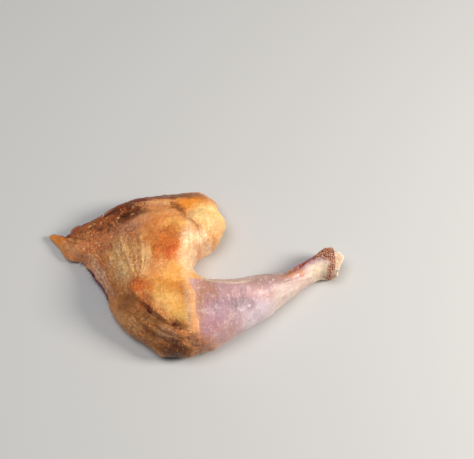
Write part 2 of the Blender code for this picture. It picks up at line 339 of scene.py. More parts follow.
mottle_group, entry, leave = new_group(
    "mottle",
    [("Place", VECTOR, None), ("Spacing", VALUE, 7.0)],
    [(label, VALUE) for label in MOTTLE],
)
sizes = {}
for label, (ratio, low, high) in MOTTLE.items():
    spacing = times(mottle_group, entry["Spacing"], ratio)
    wave = clouds(mottle_group, entry["Place"], spacing, 3.0, 0.6)[0]
    sizes[label] = ranged(mottle_group, wave, low, high)
give(mottle_group, leave, **sizes)

# %% Group: stipple
NO_FLECKS = 0.72  # noise that high is rare
FLECK_EDGE = 0.12

stipple_group, entry, leave = new_group(
    "stipple",
    [("Place", VECTOR, None), ("Spacing", VALUE, 2.0), ("Cover", VALUE, 0.5)],
    [("Flecks", VALUE)],
)
wave = clouds(stipple_group, entry["Place"], entry["Spacing"], 3.0, 0.65)[0]
low = sum_up(stipple_group, "SUBTRACT", NO_FLECKS, times(stipple_group, entry["Cover"], 0.3))
high = sum_up(stipple_group, "ADD", low, FLECK_EDGE)
give(stipple_group, leave, Flecks=ranged(stipple_group, wave, low, high))

# %% Group: dabs
dabs_group, entry, leave = new_group(
    "dabs",
    [("Place", VECTOR, None), ("Spacing", VALUE, 3.0), ("Size", VALUE, 0.3), ("Share", VALUE, 0.5)],
    [("Spots", VALUE)],
)
found = cells(dabs_group, entry["Place"], entry["Spacing"])
luck = add(dabs_group, "ShaderNodeSeparateColor", {0: found["Color"]}).outputs
size = times(dabs_group, entry["Size"], sum_up(dabs_group, "ADD", luck[1], 0.5))
far = sum_up(dabs_group, "DIVIDE", found["Distance"], size)
chosen = sum_up(dabs_group, "LESS_THAN", luck[0], entry["Share"])
give(dabs_group, leave, Spots=times(dabs_group, ranged(dabs_group, far, 1.0, 0.3), chosen))

# %% Group: pores
RIM_AT, RIM_WIDE = 0.36, 0.16  # in cells

pores_group, entry, leave = new_group(
    "pores",
    [("Place", VECTOR, None), ("Spacing", VALUE, 1.4)],
    [("Dimples", VALUE), ("Rims", VALUE)],
)
middle = cells(pores_group, entry["Place"], entry["Spacing"], 0.85)["Distance"]
rim = sum_up(pores_group, "ABSOLUTE", sum_up(pores_group, "SUBTRACT", middle, RIM_AT))
dimples = ranged(pores_group, middle, 0.26, 0.06)
give(pores_group, leave, Dimples=dimples, Rims=ranged(pores_group, rim, RIM_WIDE, 0.0))

# %% Group: crinkle
crinkle_group, entry, leave = new_group(
    "crinkle",
    [
        ("Place", VECTOR, None),
        ("Stretch", VECTOR, (1, 1, 1)),
        ("Turn", VECTOR, (0, 0, 0)),
        ("Thickness", VALUE, 0.05),
    ],
    [("Lines", VALUE), ("Swell", VALUE)],
)
sockets = {0: entry["Place"], 2: entry["Turn"], 3: entry["Stretch"]}
turned = add(crinkle_group, "ShaderNodeMapping", sockets, vector_type="TEXTURE").outputs[0]
wave = clouds(crinkle_group, turned, 1.0, 3.0, 0.55)[0]
near = sum_up(crinkle_group, "ABSOLUTE", sum_up(crinkle_group, "SUBTRACT", wave, NOISE_MIDDLE))
lines = ranged(crinkle_group, near, entry["Thickness"], 0.0)
give(crinkle_group, leave, Lines=lines, Swell=ranged(crinkle_group, near, 0.0, 0.14))

# %% Group: moisture
moisture_group, entry, leave = new_group(
    "moisture",
    [("Place", VECTOR, None), ("Dry", VALUE, 0.48), ("Wet", VALUE, 0.30), ("Film", VALUE, 0.6)],
    [("Roughness", VALUE), ("Coat", VALUE)],
)
wave = clouds(moisture_group, entry["Place"], 6.0, 5.0, 0.65)[0]
share = ranged(moisture_group, wave, 0.36, 0.64)
rough = ranged(moisture_group, share, 0.0, 1.0, entry["Dry"], entry["Wet"], "LINEAR")
give(moisture_group, leave, Roughness=rough, Coat=times(moisture_group, share, entry["Film"]))

# %% [markdown]
# ## The finish of the skin
#
# The thigh and the drumstick are one skin, so one finish covers both. It reads marks that the
# modelling below leaves on the mesh, each from 0 to 1:
#
# - `film`: the thin skin of the drumstick. `meat`: bare meat. `hem`: the skin's edge beside it.
# - `crease` and `lip`: painted shade on the floor of a fold, and painted highlight on its crest.
# - `follicle`: a bump of goose flesh, its tip lightened as a painted highlight.
# - `band`: dark pigment along the hip. Beyond it, a dark red rim of painted shade on the far side,
#   where the skin faces away. `bruise`: dark blood.
# - `ruddy`: the orange hollow. `drape`: the folds down the thigh. `knee`: the skin over the knee.
# - `turned`: paler where the skin turns down, at the knee's lower edge and at the flap, and the
#   pale cord on the drumstick.
# - `scaly`: the skin of the foot, at the hock.
#
# The zones come first, then the fine marks, then what lies bare.

# %% Zones of the thigh
Zone = namedtuple("Zone", "centre radii turn colour strength")
PIGMENT = hue(72, 30, 4)
THIGH_BASE = hue(226, 156, 96)
THIGH_ZONES = [
    # the tan skin at the left, and the flap
    Zone((-64, 12), (34, 15), 35, hue(220, 142, 92), 0.85),
    Zone((-52, -8), (7, 22), 30, hue(232, 158, 94), 0.70),
    Zone((-60, 4), (6, 9), 30, hue(250, 176, 112), 0.75),
    Zone((-50, -21), (12, 9), -50, hue(204, 136, 74), 0.85),
    Zone((-90, 27), (9, 5), 10, hue(234, 146, 66), 0.90),
    Zone((-82, 29), (7, 4), 20, hue(118, 42, 8), 0.88),
    Zone((-80, 17), (9, 3), -35, hue(208, 148, 102), 0.80),
    Zone((-60, -5), (17, 3.2), -62, hue(244, 202, 176), 0.85),
    # pigment along the hip and the roll above it; the far edge's darkest zones are partly painted shade
    Zone((-56, 36), (30, 6), 22, hue(168, 96, 48), 0.90),
    Zone((-52, 31), (20, 5), 22, hue(176, 106, 60), 0.80),
    Zone((-38, 35), (10, 4), 15, hue(112, 62, 28), 0.80),
    Zone((-76, 34.5), (14, 4), 24, hue(150, 54, 20), 0.90),
    # partly painted shade on the far edge, where the skin faces away
    Zone((-43, 44.5), (15, 3), 18, hue(134, 56, 14), 0.92),
    Zone((-26, 43.5), (16, 2.2), 2, hue(210, 154, 102), 0.90),
    Zone((-14, 51), (18, 4.5), -2, hue(126, 62, 22), 0.90),
    Zone((-56, 39), (4.5, 1.8), 25, PIGMENT, 0.85),
    Zone((-50, 39.5), (4, 2), 15, PIGMENT, 0.60),
    Zone((-44.5, 36.5), (5, 2.2), 20, PIGMENT, 0.85),
    Zone((-38, 39.3), (3.6, 1.3), 15, PIGMENT, 0.75),
    Zone((-44, 28.5), (2.6, 1.8), 0, PIGMENT, 0.42),
    Zone((-62, 28.5), (3.4, 1.6), 30, PIGMENT, 0.50),
    Zone((-8.5, 38.8), (4, 1.8), -38, hue(136, 52, 0), 0.80),
    # folds down the outer thigh
    Zone((-38, 27), (15, 6), 20, hue(198, 140, 104), 0.85),
    Zone((-44.5, 1), (9, 18.5), 14, hue(255, 208, 146), 1.00),
    Zone((-26.5, 10), (5, 16), 4, hue(200, 118, 50), 0.80),
    Zone((-33, 0), (7, 15), 10, hue(248, 194, 132), 0.90),
    # the flank lobe
    Zone((0, 43.5), (13, 9), -5, hue(248, 156, 52), 0.92),
    # partly painted shade: the dark far edge beyond the lobe
    Zone((-8, 54), (15, 4.5), -3, hue(136, 76, 32), 0.85),
    Zone((10, 33), (12, 13), 20, hue(250, 214, 150), 1.00),
    Zone((16, 22), (7, 10), 10, hue(232, 182, 126), 0.90),
    Zone((6, 16), (6, 6), 10, hue(255, 222, 184), 0.90),
    Zone((5, 7), (6, 7), 0, hue(206, 150, 114), 0.85),
    Zone((14, -8), (13, 5), -20, hue(214, 176, 148), 0.90),
    # the middle: pale ridge, orange hollow, gold pad
    Zone((-20, 27), (12, 9), 0, hue(234, 152, 84), 0.78),
    Zone((-12, 23), (8, 7), 0, hue(255, 190, 106), 0.85),
    Zone((-18, -10), (9, 6), 0, hue(226, 154, 94), 0.85),
    Zone((-9, -12), (12, 8), 0, hue(242, 182, 100), 0.85),
    Zone((-16, 12), (7, 9), 0, hue(222, 126, 56), 0.85),
    Zone((-17, 10), (9, 13), -10, hue(222, 134, 60), 0.78),
    Zone((-15, 3), (4, 5.5), -14, hue(218, 92, 28), 0.60),
    Zone((-3, 6), (5.5, 21), 0, hue(242, 206, 166), 0.92),
    Zone((-18, -22), (21, 6.5), -8, hue(208, 138, 56), 0.92),
    Zone((-35, -20), (6, 5), -30, hue(214, 104, 30), 0.75),
    Zone((-27.5, -31.5), (7, 4), -40, hue(176, 92, 22), 0.80),
    Zone((-14, -33), (15, 8), -34, hue(226, 176, 100), 0.90),
    Zone((-6, -42), (8, 4.5), -15, hue(216, 168, 84), 0.88),
    Zone((-1, -32), (3.6, 19), 4, hue(222, 176, 132), 0.90),
    # the knee
    Zone((-41, -29), (7, 6), -45, hue(140, 84, 34), 0.75),
    Zone((-27, -45), (24, 7), -34, hue(174, 120, 70), 0.92),
    Zone((-15, -50.5), (9, 3.6), -25, hue(208, 160, 122), 0.85),
    Zone((-7, -47.5), (6, 2.4), -15, hue(116, 68, 26), 0.85),
    Zone((-10, -58), (11, 3.4), -8, hue(98, 58, 30), 0.90),
    Zone((5, -55), (7, 4.5), 0, hue(166, 118, 94), 0.85),
    Zone((14, -57), (8, 4), 10, hue(158, 114, 96), 0.80),
    Zone((-40, -39), (14, 3), -42, hue(220, 162, 110), 0.85),
]
print(len(THIGH_ZONES), "zones on the thigh")

# %% Zones of the drumstick
DRUM_BASE = hue(196, 156, 156)
DRUM_ZONES = [
    Zone((8, -24), (8, 16), 4, hue(194, 140, 118), 0.90),
    Zone((12, -44), (9, 14), 0, hue(194, 142, 150), 0.90),
    Zone((12, -58), (10, 4.5), 14, hue(126, 88, 72), 0.85),
    Zone((22, -50), (16, 6), 28, hue(194, 150, 148), 0.85),
    Zone((22, -37), (10, 9), 0, hue(176, 144, 152), 0.80),
    Zone((44, -35), (16, 7), 30, hue(212, 196, 206), 0.95),
    # painted shade: the hollow above the calf, darker and greyer than the skin round it
    Zone((31, -33), (9, 4.5), 15, hue(146, 124, 134), 0.80),
    Zone((61, -20), (15, 7), 32, hue(214, 194, 184), 0.90),
    Zone((49, -12), (18, 7), 22, hue(158, 126, 116), 0.85),
    Zone((28, -13), (20, 3.5), 4, hue(204, 168, 156), 0.80),
    Zone((71, -10), (8, 6), 32, hue(220, 192, 178), 0.90),
    Zone((62, -6), (10, 3.5), 25, hue(184, 120, 88), 0.80),
    Zone((4.5, -38), (4, 16), 4, hue(186, 136, 110), 0.80),
    Zone((67, -5), (5, 3), 30, hue(208, 142, 98), 0.80),
    Zone((63.5, -2.6), (4, 2.6), 30, hue(180, 106, 56), 0.85),
    Zone((70, 3), (6, 2.6), 30, hue(152, 44, 18), 0.88),
    Zone((78, 8.2), (6.5, 2.8), 26, hue(140, 52, 38), 0.88),
    Zone((79, -2.5), (6.5, 4.5), 24, hue(234, 214, 190), 0.92),
    Zone((84, -1.5), (4.5, 5), 0, hue(246, 222, 190), 0.90),
]
print(len(DRUM_ZONES), "zones on the drumstick")

# %% Skin finish: colours
def painted(tree, base, zones, place):
    """Lays the zones over the base colour, in turn, and returns the last colour."""
    colour = base
    for zone in zones:
        turn = math.radians(zone.turn)
        long, wide = zone.radii
        colour = use(
            tree,
            zone_group,
            Place=place,
            Below=colour,
            Tint=zone.colour,
            Centre=(*zone.centre, 0),
            Along=(math.cos(turn) / long, math.sin(turn) / long, 0),
            Across=(-math.sin(turn) / wide, math.cos(turn) / wide, 0),
            Strength=zone.strength,
        )["Colour"]
    return colour


def mark(tree, name):
    """A value from 0 to 1 that the modelling left on the mesh."""
    return add(tree, "ShaderNodeAttribute", attribute_name=name).outputs["Fac"]


skin, tree = new_finish("fowl_skin")
place = use(tree, place_group, Wander=4.0, Wander_spacing=7.5)
even, pushed = place["Even"], place["Pushed"]
thigh = painted(tree, THIGH_BASE, THIGH_ZONES, pushed)
drum = painted(tree, DRUM_BASE, DRUM_ZONES, pushed)
colour = mixed(tree, mark(tree, "film"), thigh, drum)
print("skin zones laid")

# %% Skin finish: fat and blood
def laid(tree, colour, share, tint, strength, blend="MIX"):
    """Colour with the tint laid over it, as far as share and strength say."""
    return mixed(tree, times(tree, share, strength), colour, tint, blend)


def lighter(red, green, blue):
    """What to multiply a colour by, to light it up without greying it."""
    return (red, green, blue, 1.0)


film = mark(tree, "film")
fatty = sum_up(tree, "SUBTRACT", 1.0, times(tree, film, 0.7))
coarse = sum_up(tree, "ADD", mark(tree, "drape"), mark(tree, "band"))
coarse = sum_up(tree, "ADD", coarse, mark(tree, "knee"))
coarse = sum_up(tree, "ADD", coarse, times(tree, mark(tree, "ruddy"), 0.6), clamp=True)
coarse = sum_up(tree, "MULTIPLY_ADD", coarse, 0.58, 0.46)
coarse = times(tree, coarse, fatty)

FAT = [  # which lumps, where, and what they multiply the colour by
    ("Broad", fatty, hue(240, 208, 156), 0.42),
    ("Middle", coarse, hue(206, 166, 134), 0.36),
    ("Fine", coarse, hue(184, 152, 122), 0.60),
]
fat = use(tree, mottle_group, Place=pushed, Spacing=8.0)
for lumps, where, tint, strength in FAT:
    colour = laid(tree, colour, times(tree, fat[lumps], where), tint, strength, "MULTIPLY")
cream = use(tree, mottle_group, Place=even, Spacing=9.0)
share = times(tree, cream["Broad"], fatty)
colour = laid(tree, colour, share, lighter(1.30, 1.36, 1.30), 0.8, "MULTIPLY")
veins = use(tree, crinkle_group, Place=pushed, Stretch=(6, 6, 6), Thickness=0.02)
colour = laid(tree, colour, times(tree, veins["Lines"], fatty), hue(186, 96, 54), 0.14)
pores = use(tree, pores_group, Place=pushed, Spacing=1.5)
share = times(tree, pores["Rims"], fatty)
colour = laid(tree, colour, share, lighter(1.3, 1.3, 1.35), 0.4, "MULTIPLY")
colour = laid(tree, colour, times(tree, pores["Dimples"], coarse), hue(132, 84, 54), 0.35)
print("fat and blood laid")

# %% Skin finish: spots
Dab = namedtuple("Dab", "where spacing size share colour strength")
DABS = [
    Dab("ruddy", 5.6, 0.55, 0.50, hue(222, 104, 36), 0.34),
    Dab("ruddy", 2.2, 0.34, 0.40, hue(168, 68, 28), 0.52),
    Dab("drape", 5.2, 0.42, 0.40, hue(192, 108, 84), 0.34),
    Dab("drape", 2.4, 0.42, 0.45, hue(250, 208, 166), 0.62),
    Dab("drape", 5.0, 0.12, 0.40, hue(62, 34, 22), 0.80),
    Dab("band", 4.4, 0.60, 0.50, PIGMENT, 0.60),
    # partly painted glints: pale spots among the pigment of the band
    Dab("band", 2.4, 0.50, 0.40, hue(246, 190, 126), 0.70),
    Dab("band", 1.6, 0.46, 0.48, hue(44, 18, 6), 0.85),
    Dab("knee", 2.1, 0.42, 0.45, hue(214, 168, 116), 0.36),
    Dab("knee", 4.4, 0.40, 0.40, hue(96, 54, 30), 0.34),
    # pale specks of follicles on the thin skin, partly painted highlights of their wet tips
    Dab("film", 3.8, 0.45, 0.40, hue(250, 224, 222), 0.28),
    Dab("film", 8.0, 0.60, 0.50, hue(168, 134, 142), 0.35),
]
for dab in DABS:
    sockets = {"Spacing": dab.spacing, "Size": dab.size, "Share": dab.share}
    spots = use(tree, dabs_group, Place=pushed, **sockets)["Spots"]
    colour = laid(tree, colour, times(tree, spots, mark(tree, dab.where)), dab.colour, dab.strength)
print(len(DABS), "kinds of spot")

# %% Skin finish: streaks, creases and bare meat
STREAK_SHAPE = {"Stretch": (1.6, 9, 9), "Turn": (0, 0, 0.25), "Thickness": 0.05}
FIBRE_SHAPE = {"Stretch": (9, 1.1, 1.1), "Turn": (0, 0, -0.9), "Thickness": 0.10}
# painted highlights: the crests of folds and the tips of goose bumps are lightened
PAINTED_HIGHLIGHTS = {"follicle": lighter(1.12, 1.15, 1.18), "lip": lighter(1.4, 1.5, 1.6)}
COVERS = [  # each lies over the ones before it, where the skin carries its mark
    # painted shade: a dark red rim on the far side of the hip, where the skin faces away
    ("far_side_shade", hue(116, 36, 16), 0.85),
    # painted shade: darker along the floors of folds and wrinkles
    ("crease", hue(112, 38, 12), 0.75),
    ("bruise", hue(88, 12, 4), 0.90),
    ("turned", hue(226, 208, 170), 0.85),
    ("scaly", hue(92, 44, 20), 0.85),
    ("hem", hue(222, 190, 158), 0.80),
]

streaks = use(tree, crinkle_group, Place=pushed, **STREAK_SHAPE)["Lines"]
colour = laid(tree, colour, times(tree, streaks, mark(tree, "drape")), hue(146, 84, 52), 0.42)
share = times(tree, times(tree, streaks, film), fat["Broad"])
colour = laid(tree, colour, share, hue(248, 222, 222), 0.45)
flecks = use(tree, stipple_group, Place=even, Spacing=2.4, Cover=0.6)["Flecks"]
colour = laid(tree, colour, times(tree, flecks, mark(tree, "band")), hue(84, 46, 22), 0.55)
# painted highlights on the crests of folds and on goose bumps
for name, factor in PAINTED_HIGHLIGHTS.items():
    colour = mixed(tree, mark(tree, name), colour, factor, "MULTIPLY")
for name, tint, strength in COVERS:
    colour = laid(tree, colour, mark(tree, name), tint, strength)
fibres = use(tree, crinkle_group, Place=even, **FIBRE_SHAPE)["Swell"]
meat = mixed(tree, fibres, hue(84, 34, 52), hue(146, 76, 96))
skin_colour = mixed(tree, mark(tree, "meat"), colour, meat)
print(len(COVERS), "marks laid over the skin")

# %% Skin finish: gloss and grain
def stacked(tree, heights):
    """The sum of the heights, each times its own amount."""
    (first, amount), *others = heights
    total = times(tree, first, amount)
    for height, amount in others:
        total = sum_up(tree, "MULTIPLY_ADD", height, amount, total)
    return total


def bumped(tree, height, strength=1.0, depth=1.0):
    """The normal, bent as relief would bend it. Depth is how many mm a height of 1 stands up."""
    sockets = {"Height": height, "Strength": strength, "Distance": depth * MM}
    return add(tree, "ShaderNodeBump", sockets).outputs[0]


def fill_shader(tree, **sockets):
    """Fills sockets of the material's own shader."""
    fill(tree, tree.nodes["Principled BSDF"], spaced(sockets))


wet = use(tree, moisture_group, Place=pushed, Dry=0.46, Wet=0.32, Film=0.40)
dull = sum_up(tree, "ADD", mark(tree, "far_side_shade"), mark(tree, "knee"), clamp=True)
dull = sum_up(tree, "ADD", dull, mark(tree, "band"), clamp=True)
coat = times(tree, wet["Coat"], sum_up(tree, "MULTIPLY_ADD", dull, -0.85, 1.0))
crinkles = use(tree, crinkle_group, Place=even, Stretch=(2.6, 2.6, 2.6), Thickness=0.06)
grain = stacked(tree, [(crinkles["Swell"], 0.18), (fat["Fine"], 0.22), (fat["Middle"], 0.35)])
grain = times(tree, grain, coarse)
grain = sum_up(tree, "MULTIPLY_ADD", pores["Dimples"], -0.06, grain)
rough_meat = times(tree, mark(tree, "meat"), 0.3)
grain = sum_up(tree, "MULTIPLY_ADD", fibres, rough_meat, grain)
fill_shader(
    tree,
    Base_Color=skin_colour,
    Roughness=wet["Roughness"],
    Normal=bumped(tree, grain),
    IOR=1.33,
    Coat_Weight=coat,
    Coat_IOR=1.36,
    Coat_Roughness=0.20,
    Subsurface_Weight=0.25,
    Subsurface_Radius=(1.0, 0.45, 0.25),
    Subsurface_Scale=1.6 * MM,
)
print("finish", skin.name, "with", len(tree.nodes), "nodes")

# %% [markdown]
# ## The finish of the knuckle, the scales and the quills
#
# The knuckle is wet gristle: cream, with a rosy flush towards the skin and small pits. The scales
# round the hock are dry horn, each a little different in colour. The quills are clear white horn.

# %% Cartilage finish
cartilage, tree = new_finish("fowl_cartilage")
even = use(tree, place_group, Wander=1.4, Wander_spacing=4.0)["Even"]
lumps = use(tree, mottle_group, Place=even, Spacing=4.0)
colour = mixed(tree, lumps["Broad"], hue(226, 194, 164), hue(240, 214, 180))
colour = laid(tree, colour, lumps["Middle"], hue(206, 160, 140), 0.36)
spots = use(tree, dabs_group, Place=even, Spacing=1.6, Size=0.35, Share=0.30)["Spots"]
colour = laid(tree, colour, spots, hue(188, 124, 108), 0.40)
colour = laid(tree, colour, mark(tree, "rosy"), hue(190, 112, 88), 0.60)
colour = laid(tree, colour, mark(tree, "edges"), hue(255, 248, 236), 0.80)
wet = use(tree, moisture_group, Place=even, Dry=0.42, Wet=0.28, Film=0.5)
pits = use(tree, pores_group, Place=even, Spacing=0.9)["Dimples"]
grain = stacked(tree, [(lumps["Fine"], 0.20), (lumps["Middle"], 0.3), (pits, -0.12)])
fill_shader(
    tree,
    Base_Color=colour,
    Roughness=wet["Roughness"],
    Normal=bumped(tree, grain),
    Coat_Weight=wet["Coat"],
    Coat_Roughness=0.15,
    Subsurface_Weight=0.35,
    Subsurface_Radius=(1.0, 0.6, 0.4),
    Subsurface_Scale=1.2 * MM,
)
print("finish", cartilage.name)

# %% Scale finish
horn, tree = new_finish("fowl_scales")
even = use(tree, place_group, Wander=0.5, Wander_spacing=1.5)["Even"]
lumps = use(tree, mottle_group, Place=even, Spacing=3.0)
colour = mixed(tree, mark(tree, "tint"), hue(172, 94, 62), hue(236, 170, 126))
colour = laid(tree, colour, lumps["Middle"], hue(142, 78, 50), 0.40)
colour = laid(tree, colour, lumps["Broad"], hue(250, 190, 150), 0.30)
rough = ranged(tree, lumps["Fine"], 0.0, 1.0, 0.35, 0.55, "LINEAR")
normal = bumped(tree, lumps["Fine"], strength=0.5, depth=0.1)
fill_shader(tree, Base_Color=colour, Roughness=rough, Normal=normal)
fill_shader(tree, Coat_Weight=0.2, Coat_Roughness=0.25)
print("finish", horn.name)

# %% Quill finish
quill, tree = new_finish("fowl_quill")
even = use(tree, place_group, Wander=0.5, Wander_spacing=1.5)["Even"]
lumps = use(tree, mottle_group, Place=even, Spacing=3.0)
colour = mixed(tree, lumps["Fine"], hue(246, 238, 224), hue(214, 192, 164))
rough = ranged(tree, lumps["Broad"], 0.0, 1.0, 0.30, 0.50, "LINEAR")
fill_shader(tree, Base_Color=colour, Roughness=rough)
fill_shader(tree, Subsurface_Weight=0.3, Subsurface_Scale=0.5 * MM)
print("finish", quill.name)

# %% [markdown]
# ## The body of the skin
#
# The solid of the leg is made of large facets, with a socket for the bone. Voxel remeshing gives
# an even skin of small quads to model on. It also swallows the socket: a fattened copy of the
# bone's shaft plugs it first. A few rounds of smoothing take the facets away. Subdividing the
# facets would keep their flat look, and sculpting by hand could not be repeated.

# %% Mesh helpers
WELD = 0.001  # mm


def merged(node):
    """A copy of a solid's mesh with its loose triangles joined."""
    mesh = bmesh.new()
    mesh.from_mesh(frame["nodes"][node].data)
    bmesh.ops.remove_doubles(mesh, verts=mesh.verts, dist=WELD * MM)
    return mesh


def keep_beyond(mesh, x, side):
    """Cuts the mesh at x and keeps the part on that side, 1 or -1, with the cut closed."""
    everything = [*mesh.verts, *mesh.edges, *mesh.faces]
    bmesh.ops.bisect_plane(
        mesh, geom=everything, plane_co=(x * MM, 0, 0), plane_no=(side, 0, 0), clear_inner=True
    )
    bmesh.ops.holes_fill(mesh, edges=[edge for edge in mesh.edges if edge.is_boundary])
    bmesh.ops.triangulate(mesh, faces=mesh.faces)
    bmesh.ops.recalc_face_normals(mesh, faces=mesh.faces)


def new_piece(name, mesh):
    """An object at the origin with this mesh, in the scene."""
    data = bpy.data.meshes.new(name)
    mesh.to_mesh(data)
    mesh.free()
    piece = bpy.data.objects.new(name, data)
    scene.collection.objects.link(piece)
    return piece


def settle(piece):
    """Turns the piece's mesh into what its modifiers make of it, and takes them off."""
    graph = bpy.context.evaluated_depsgraph_get()
    made = bpy.data.meshes.new_from_object(
        piece.evaluated_get(graph), preserve_all_data_layers=True, depsgraph=graph
    )
    piece.modifiers.clear()
    piece.data = made
    return made


def remesh(piece, voxel, rounds):
    """Gives the piece an even mesh of quads and smooths it."""
    even_out = piece.modifiers.new("even", "REMESH")
    even_out.mode = "VOXEL"
    even_out.voxel_size = voxel * MM
    soften = piece.modifiers.new("soften", "SMOOTH")
    soften.iterations = rounds
    return settle(piece)


print("mesh helpers ready")

# %% Remeshed skin
SKIN_VOXEL = 0.64
SKIN_ROUNDS = 14
PLUG_END = 86
PLUG_SWELL = 0.9

body = merged("leg")
plug = merged("bone")
keep_beyond(plug, PLUG_END, -1)
plug.normal_update()
for vertex in plug.verts:
    vertex.co += vertex.normal * PLUG_SWELL * MM
plug_data = bpy.data.meshes.new("plug")
plug.to_mesh(plug_data)
plug.free()
body.from_mesh(plug_data)
bpy.data.meshes.remove(plug_data)
leg_skin = new_piece("leg_skin", body)
remesh(leg_skin, SKIN_VOXEL, SKIN_ROUNDS)
leg_skin.data.calc_loop_triangles()
print("skin:", len(leg_skin.data.loop_triangles), "triangles")

# %% [markdown]
# ## Pushing the outline
#
# The solid has the main forms, and loose flesh is less regular: the flank lobe has corners, the
# knee has dents, the calf bulges a little. Each push moves the skin near one point by a few
# tenths of a millimetre or more, and fades out round it. A sculpting brush does the same by hand;
# here each stroke is a line in a table, so it can be read and changed.

# %% Soft pushes on the outline
Push = namedtuple("Push", "centre radius move")
PUSHES = [
    Push((-86.5, 35, 4), 6, (0.4, -2.8, 0)),  # hip, beside the flap
    Push((-74, 7.5, 3), 7, (0.7, 1.5, 0)),  # under the flap
    Push((-31, -50, 5), 8, (0.9, 1.3, 0)),  # knee
    Push((-19, -57.5, 6), 4.5, (-0.3, -1.4, 0)),
    Push((-10, -60, 6), 6, (0, 1.5, 0)),
    Push((-2, -60, 6), 4, (0, -0.8, 0)),
    Push((13, -53, 5), 5, (0.2, -1.2, 0)),
    Push((29, -44, 7), 6, (-0.5, 1.2, 0)),  # calf
    Push((47, -29, 4), 9, (0.7, -1.7, 0)),
    Push((11, 44, 10), 11, (0.6, 2.2, 0.8)),  # flank lobe
    Push((3, 57, 10), 6, (0, 1.2, 0.6)),
    Push((18, 43, 12), 6, (-2.2, -1.4, 0)),
    Push((20, 33, 9), 4.5, (1.0, 0.2, 0)),
    Push((18, 26, 8), 4, (-0.6, 0.3, 0)),
]


def pushed_points(points, pushes):
    """The points, moved by each push as far as they lie within its radius."""
    for push in pushes:
        away = np.linalg.norm(points - push.centre, axis=1)
        points = points + np.exp(-((away / push.radius) ** 2))[:, None] * push.move
    return points


print(len(PUSHES), "pushes")

# %% [markdown]
# ## Folds in the skin
#
# Loose skin folds where it hangs over something: round the flank lobe, along the hip, over the
# knee. Each fold here is a path on the leg as seen from above. On the left of the path the skin
# rises to a lip, it drops steeply on the path itself, and it comes up slowly on the right.
# Displacing with a noise texture gives bumps but no folds, so the paths are drawn one by one.

# %% Shape helpers
Patch = namedtuple("Patch", "centre radii turn reach fade strength", defaults=[1.0])
Lump = namedtuple("Lump", "height spacing seed octaves")
SEED_SHIFT = (17.3, 5.1, 29.7)  # how far apart two seeds look in the same noise


def eased(value):
    """Eases 0 to 1, flat at both ends."""
    value = np.clip(value, 0, 1)
    return value * value * (3 - 2 * value)


def past(values, start, over):
    """Rises from 0 at start to 1 after that much more, or less where over is negative."""
    return eased((values - start) / over)


def tapered(along, share):
    """Fades out at both ends of a path, each over that share of its length."""
    return past(along, 0, share) * past(along, 1, -share)


def bell(distance, width):
    """1 at a distance of 0, and close to 0 at twice the width."""
    return np.exp(-((distance / width) ** 2))


def uneven(points, spacing, seed=0, octaves=1):
    """Smooth random values about from -1 to 1 at the points, the same each run."""
    shift = Vector([seed * part for part in SEED_SHIFT])
    if octaves == 1:
        return np.array([noise.noise(Vector(p) / spacing + shift) for p in points])
    return np.array(
        [noise.fractal(Vector(p) / spacing + shift, 1.0, 2.0, octaves) for p in points]
    )


def oval(plan, centre, radii, turn):
    """How far each point is from an oval's centre: 1 is on its edge."""
    angle = math.radians(turn)
    away = plan - np.array(centre)
    long_way = away @ [math.cos(angle), math.sin(angle)]
    short_way = away @ [-math.sin(angle), math.cos(angle)]
    return np.hypot(long_way / radii[0], short_way / radii[1])


def covered(plan, *patches):
    """Where the ovals lie, 0 to 1. Each ends at reach times its radii, and fades inwards."""
    layers = []
    for patch in patches:
        far = oval(plan, patch.centre, patch.radii, patch.turn)
        layers.append(patch.strength * past(far, patch.reach, -patch.fade))
    return np.maximum.reduce(layers)


def lumpy(points, lump):
    return lump.height * uneven(points, *lump[1:])


print("shape helpers ready")

# %% Path helpers
def through(points, steps=6):
    """A smooth curve through the points, with that many steps between each two."""
    rows = np.array(points, float)
    ends = np.vstack([2 * rows[0] - rows[1], rows, 2 * rows[-1] - rows[-2]])
    t = np.linspace(0, 1, steps, endpoint=False)[:, None]
    spans = [
        0.5 * (2 * b + (c - a) * t + (2 * a - 5 * b + 4 * c - d) * t**2
               + (3 * b - a - 3 * c + d) * t**3)
        for a, b, c, d in zip(ends, ends[1:], ends[2:], ends[3:])
    ]
    return np.vstack([*spans, rows[-1:]])


def beside(plan, path):
    """Each point's distance from the path, positive on its left, and its place along it, 0 to 1."""
    path = np.array(path, float)
    best = np.full(len(plan), np.inf)
    signed = np.zeros(len(plan))
    along = np.zeros(len(plan))
    for index, (a, b) in enumerate(zip(path, path[1:])):
        run = b - a
        share = np.clip(((plan - a) @ run) / (run @ run), 0, 1)
        away = plan - (a + share[:, None] * run)
        distance = np.hypot(away[:, 0], away[:, 1])
        nearer = distance < best
        best[nearer] = distance[nearer]
        side = np.where(run[0] * away[:, 1] - run[1] * away[:, 0] >= 0, 1, -1)
        signed[nearer] = (side * distance)[nearer]
        along[nearer] = (index + share[nearer]) / (len(path) - 1)
    return signed, along


print("path helpers ready")
